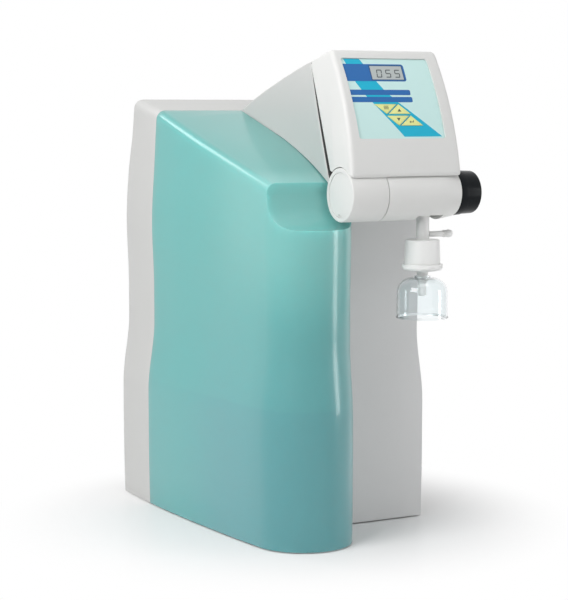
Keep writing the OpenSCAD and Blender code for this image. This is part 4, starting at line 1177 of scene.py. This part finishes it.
class PURIFIER_OT_stage(bpy.types.Operator):
    """Builds floor, light and camera"""
    bl_idname = "purifier.stage"
    bl_label = "Studio"

    def execute(self, context):
        scene = context.scene
        look = scene.purifier_stage
        # pale studio paper: white far away, plain near the object so that its shadow stays
        paper = bpy.data.materials.new("studio_paper")
        paper.use_nodes = True
        tree = paper.node_tree
        tree.nodes.clear()
        out = add(tree, "ShaderNodeOutputMaterial", (900, 0))
        mix = add(tree, "ShaderNodeMixShader", (700, 0))
        matt = add(tree, "ShaderNodeBsdfDiffuse", (200, 0))
        matt.inputs["Color"].default_value = (1.0, 1.0, 1.0, 1.0)
        sheen = add(tree, "ShaderNodeBsdfGlossy", (200, -150))
        sheen.inputs["Roughness"].default_value = 0.18
        near = add(tree, "ShaderNodeMixShader", (400, 0))
        near.inputs[0].default_value = 0.1
        tree.links.new(matt.outputs[0], near.inputs[1])
        tree.links.new(sheen.outputs[0], near.inputs[2])
        white = add(tree, "ShaderNodeEmission", (400, -200))
        place = add(tree, "ShaderNodeTexCoord", (-600, 200))
        away = add(tree, "ShaderNodeVectorMath", (-400, 200))
        away.operation = "DISTANCE"
        away.inputs[1].default_value = (-0.02, -0.02, 0.0)
        fade = add(tree, "ShaderNodeMapRange", (-200, 200))
        fade.interpolation_type = "SMOOTHSTEP"
        fade.inputs["From Min"].default_value = 0.13
        fade.inputs["From Max"].default_value = 0.35
        seen = self.seen(tree, (-200, 500))
        both = add(tree, "ShaderNodeMath", (100, 300))
        both.operation = "MULTIPLY"
        tree.links.new(place.outputs["Object"], away.inputs[0])
        tree.links.new(away.outputs["Value"], fade.inputs["Value"])
        tree.links.new(fade.outputs["Result"], both.inputs[0])
        tree.links.new(seen, both.inputs[1])
        tree.links.new(both.outputs[0], mix.inputs[0])
        tree.links.new(near.outputs[0], mix.inputs[1])
        tree.links.new(white.outputs[0], mix.inputs[2])
        tree.links.new(mix.outputs[0], out.inputs["Surface"])
        bm = bmesh.new()
        bmesh.ops.create_grid(bm, x_segments=2, y_segments=2, size=6.0)
        mesh = bpy.data.meshes.new("floor")
        bm.to_mesh(mesh)
        bm.free()
        floor = bpy.data.objects.new("floor", mesh)
        mesh.materials.append(paper)
        scene.collection.objects.link(floor)

        world = bpy.data.worlds.new("studio")
        scene.world = world
        world.use_nodes = True
        tree = world.node_tree
        tree.nodes.clear()
        out = add(tree, "ShaderNodeOutputWorld", (600, 0))
        mix = add(tree, "ShaderNodeMixShader", (400, 0))
        backdrop = add(tree, "ShaderNodeBackground", (0, -100))
        backdrop.inputs["Color"].default_value = (1, 1, 1, 1)
        soft = add(tree, "ShaderNodeBackground", (0, 100))
        soft.inputs["Color"].default_value = (0.98, 0.99, 1.0, 1)
        soft.inputs["Strength"].default_value = look.world
        tree.links.new(self.seen(tree, (-300, 300)), mix.inputs[0])
        tree.links.new(soft.outputs[0], mix.inputs[1])
        tree.links.new(backdrop.outputs[0], mix.inputs[2])
        tree.links.new(mix.outputs[0], out.inputs["Surface"])

        for name, place, target, size, power in (
                ("key_left", (-1.0, -0.5, 0.92), (0, -0.08, 0.3), (0.7, 0.7), look.key),
                ("top_soft", (-0.1, -0.4, 1.95), (0, -0.1, 0.3), (1.2, 1.2), look.top),
                ("top_back", (-0.68, 1.15, 1.55), (-0.1, 0.0, 0.42), (0.4, 0.6), look.back),
                ("right_window", (1.33, -1.05, 0.42), (-0.02, -0.2, 0.3), (0.36, 0.8), look.front)):
            data = bpy.data.lights.new(name, "AREA")
            data.shape = "RECTANGLE"
            data.size, data.size_y = size
            data.energy = power
            lamp = bpy.data.objects.new(name, data)
            lamp.location = place
            lamp.rotation_euler = (Vector(target) - Vector(place)).to_track_quat("-Z", "Y").to_euler()
            scene.collection.objects.link(lamp)

        data = bpy.data.cameras.new("camera")
        data.sensor_width = 36.0
        data.lens = 106.6
        data.clip_end = 50
        camera = bpy.data.objects.new("camera", data)
        camera.location = (-0.98915, -1.84273, 0.479)
        camera.rotation_euler = (math.radians(90 - 6.135), 0, math.radians(-28))
        scene.collection.objects.link(camera)
        scene.camera = camera
        scene.view_settings.view_transform = "Standard"
        return {"FINISHED"}

    def seen(self, tree, place):
        """1 for rays of the camera, of reflections and of clear plastic, or else 0."""
        path = add(tree, "ShaderNodeLightPath", place)
        one = add(tree, "ShaderNodeMath", (place[0] + 150, place[1]))
        one.operation = "MAXIMUM"
        two = add(tree, "ShaderNodeMath", (place[0] + 300, place[1]))
        two.operation = "MAXIMUM"
        tree.links.new(path.outputs["Is Camera Ray"], one.inputs[0])
        tree.links.new(path.outputs["Is Glossy Ray"], one.inputs[1])
        tree.links.new(one.outputs[0], two.inputs[0])
        tree.links.new(path.outputs["Is Transmission Ray"], two.inputs[1])
        return two.outputs[0]


class PURIFIER_PT_panel(bpy.types.Panel):
    """Sidebar panel with every step"""
    bl_label = "Purifier"
    bl_idname = "PURIFIER_PT_panel"
    bl_space_type = "VIEW_3D"
    bl_region_type = "UI"
    bl_category = "Purifier"

    def draw(self, context):
        for name, _ in GROUPS:
            group = getattr(context.scene, name)
            box = self.layout.box()
            for key in group.__annotations__:
                box.prop(group, key)
        for operator in OPERATORS:
            self.layout.operator(operator.bl_idname)


OPERATORS = (PURIFIER_OT_tank, PURIFIER_OT_covers, PURIFIER_OT_head, PURIFIER_OT_foil, PURIFIER_OT_arm,
             PURIFIER_OT_outlet, PURIFIER_OT_frame_looks, PURIFIER_OT_stage)
CLASSES = tuple(group for _, group in GROUPS) + OPERATORS + (PURIFIER_PT_panel,)


def register():
    for cls in CLASSES:
        bpy.utils.register_class(cls)
    for name, group in GROUPS:
        setattr(bpy.types.Scene, name, bpy.props.PointerProperty(type=group))


def unregister():
    for name, _ in GROUPS:
        delattr(bpy.types.Scene, name)
    for cls in reversed(CLASSES):
        bpy.utils.unregister_class(cls)


def main():
    register()
    bpy.ops.purifier.tank()
    bpy.ops.purifier.covers()
    bpy.ops.purifier.head()
    bpy.ops.purifier.foil()
    bpy.ops.purifier.arm()
    bpy.ops.purifier.outlet()
    bpy.ops.purifier.frame_looks()
    bpy.ops.purifier.stage()


if __name__ == "__main__":
    main()
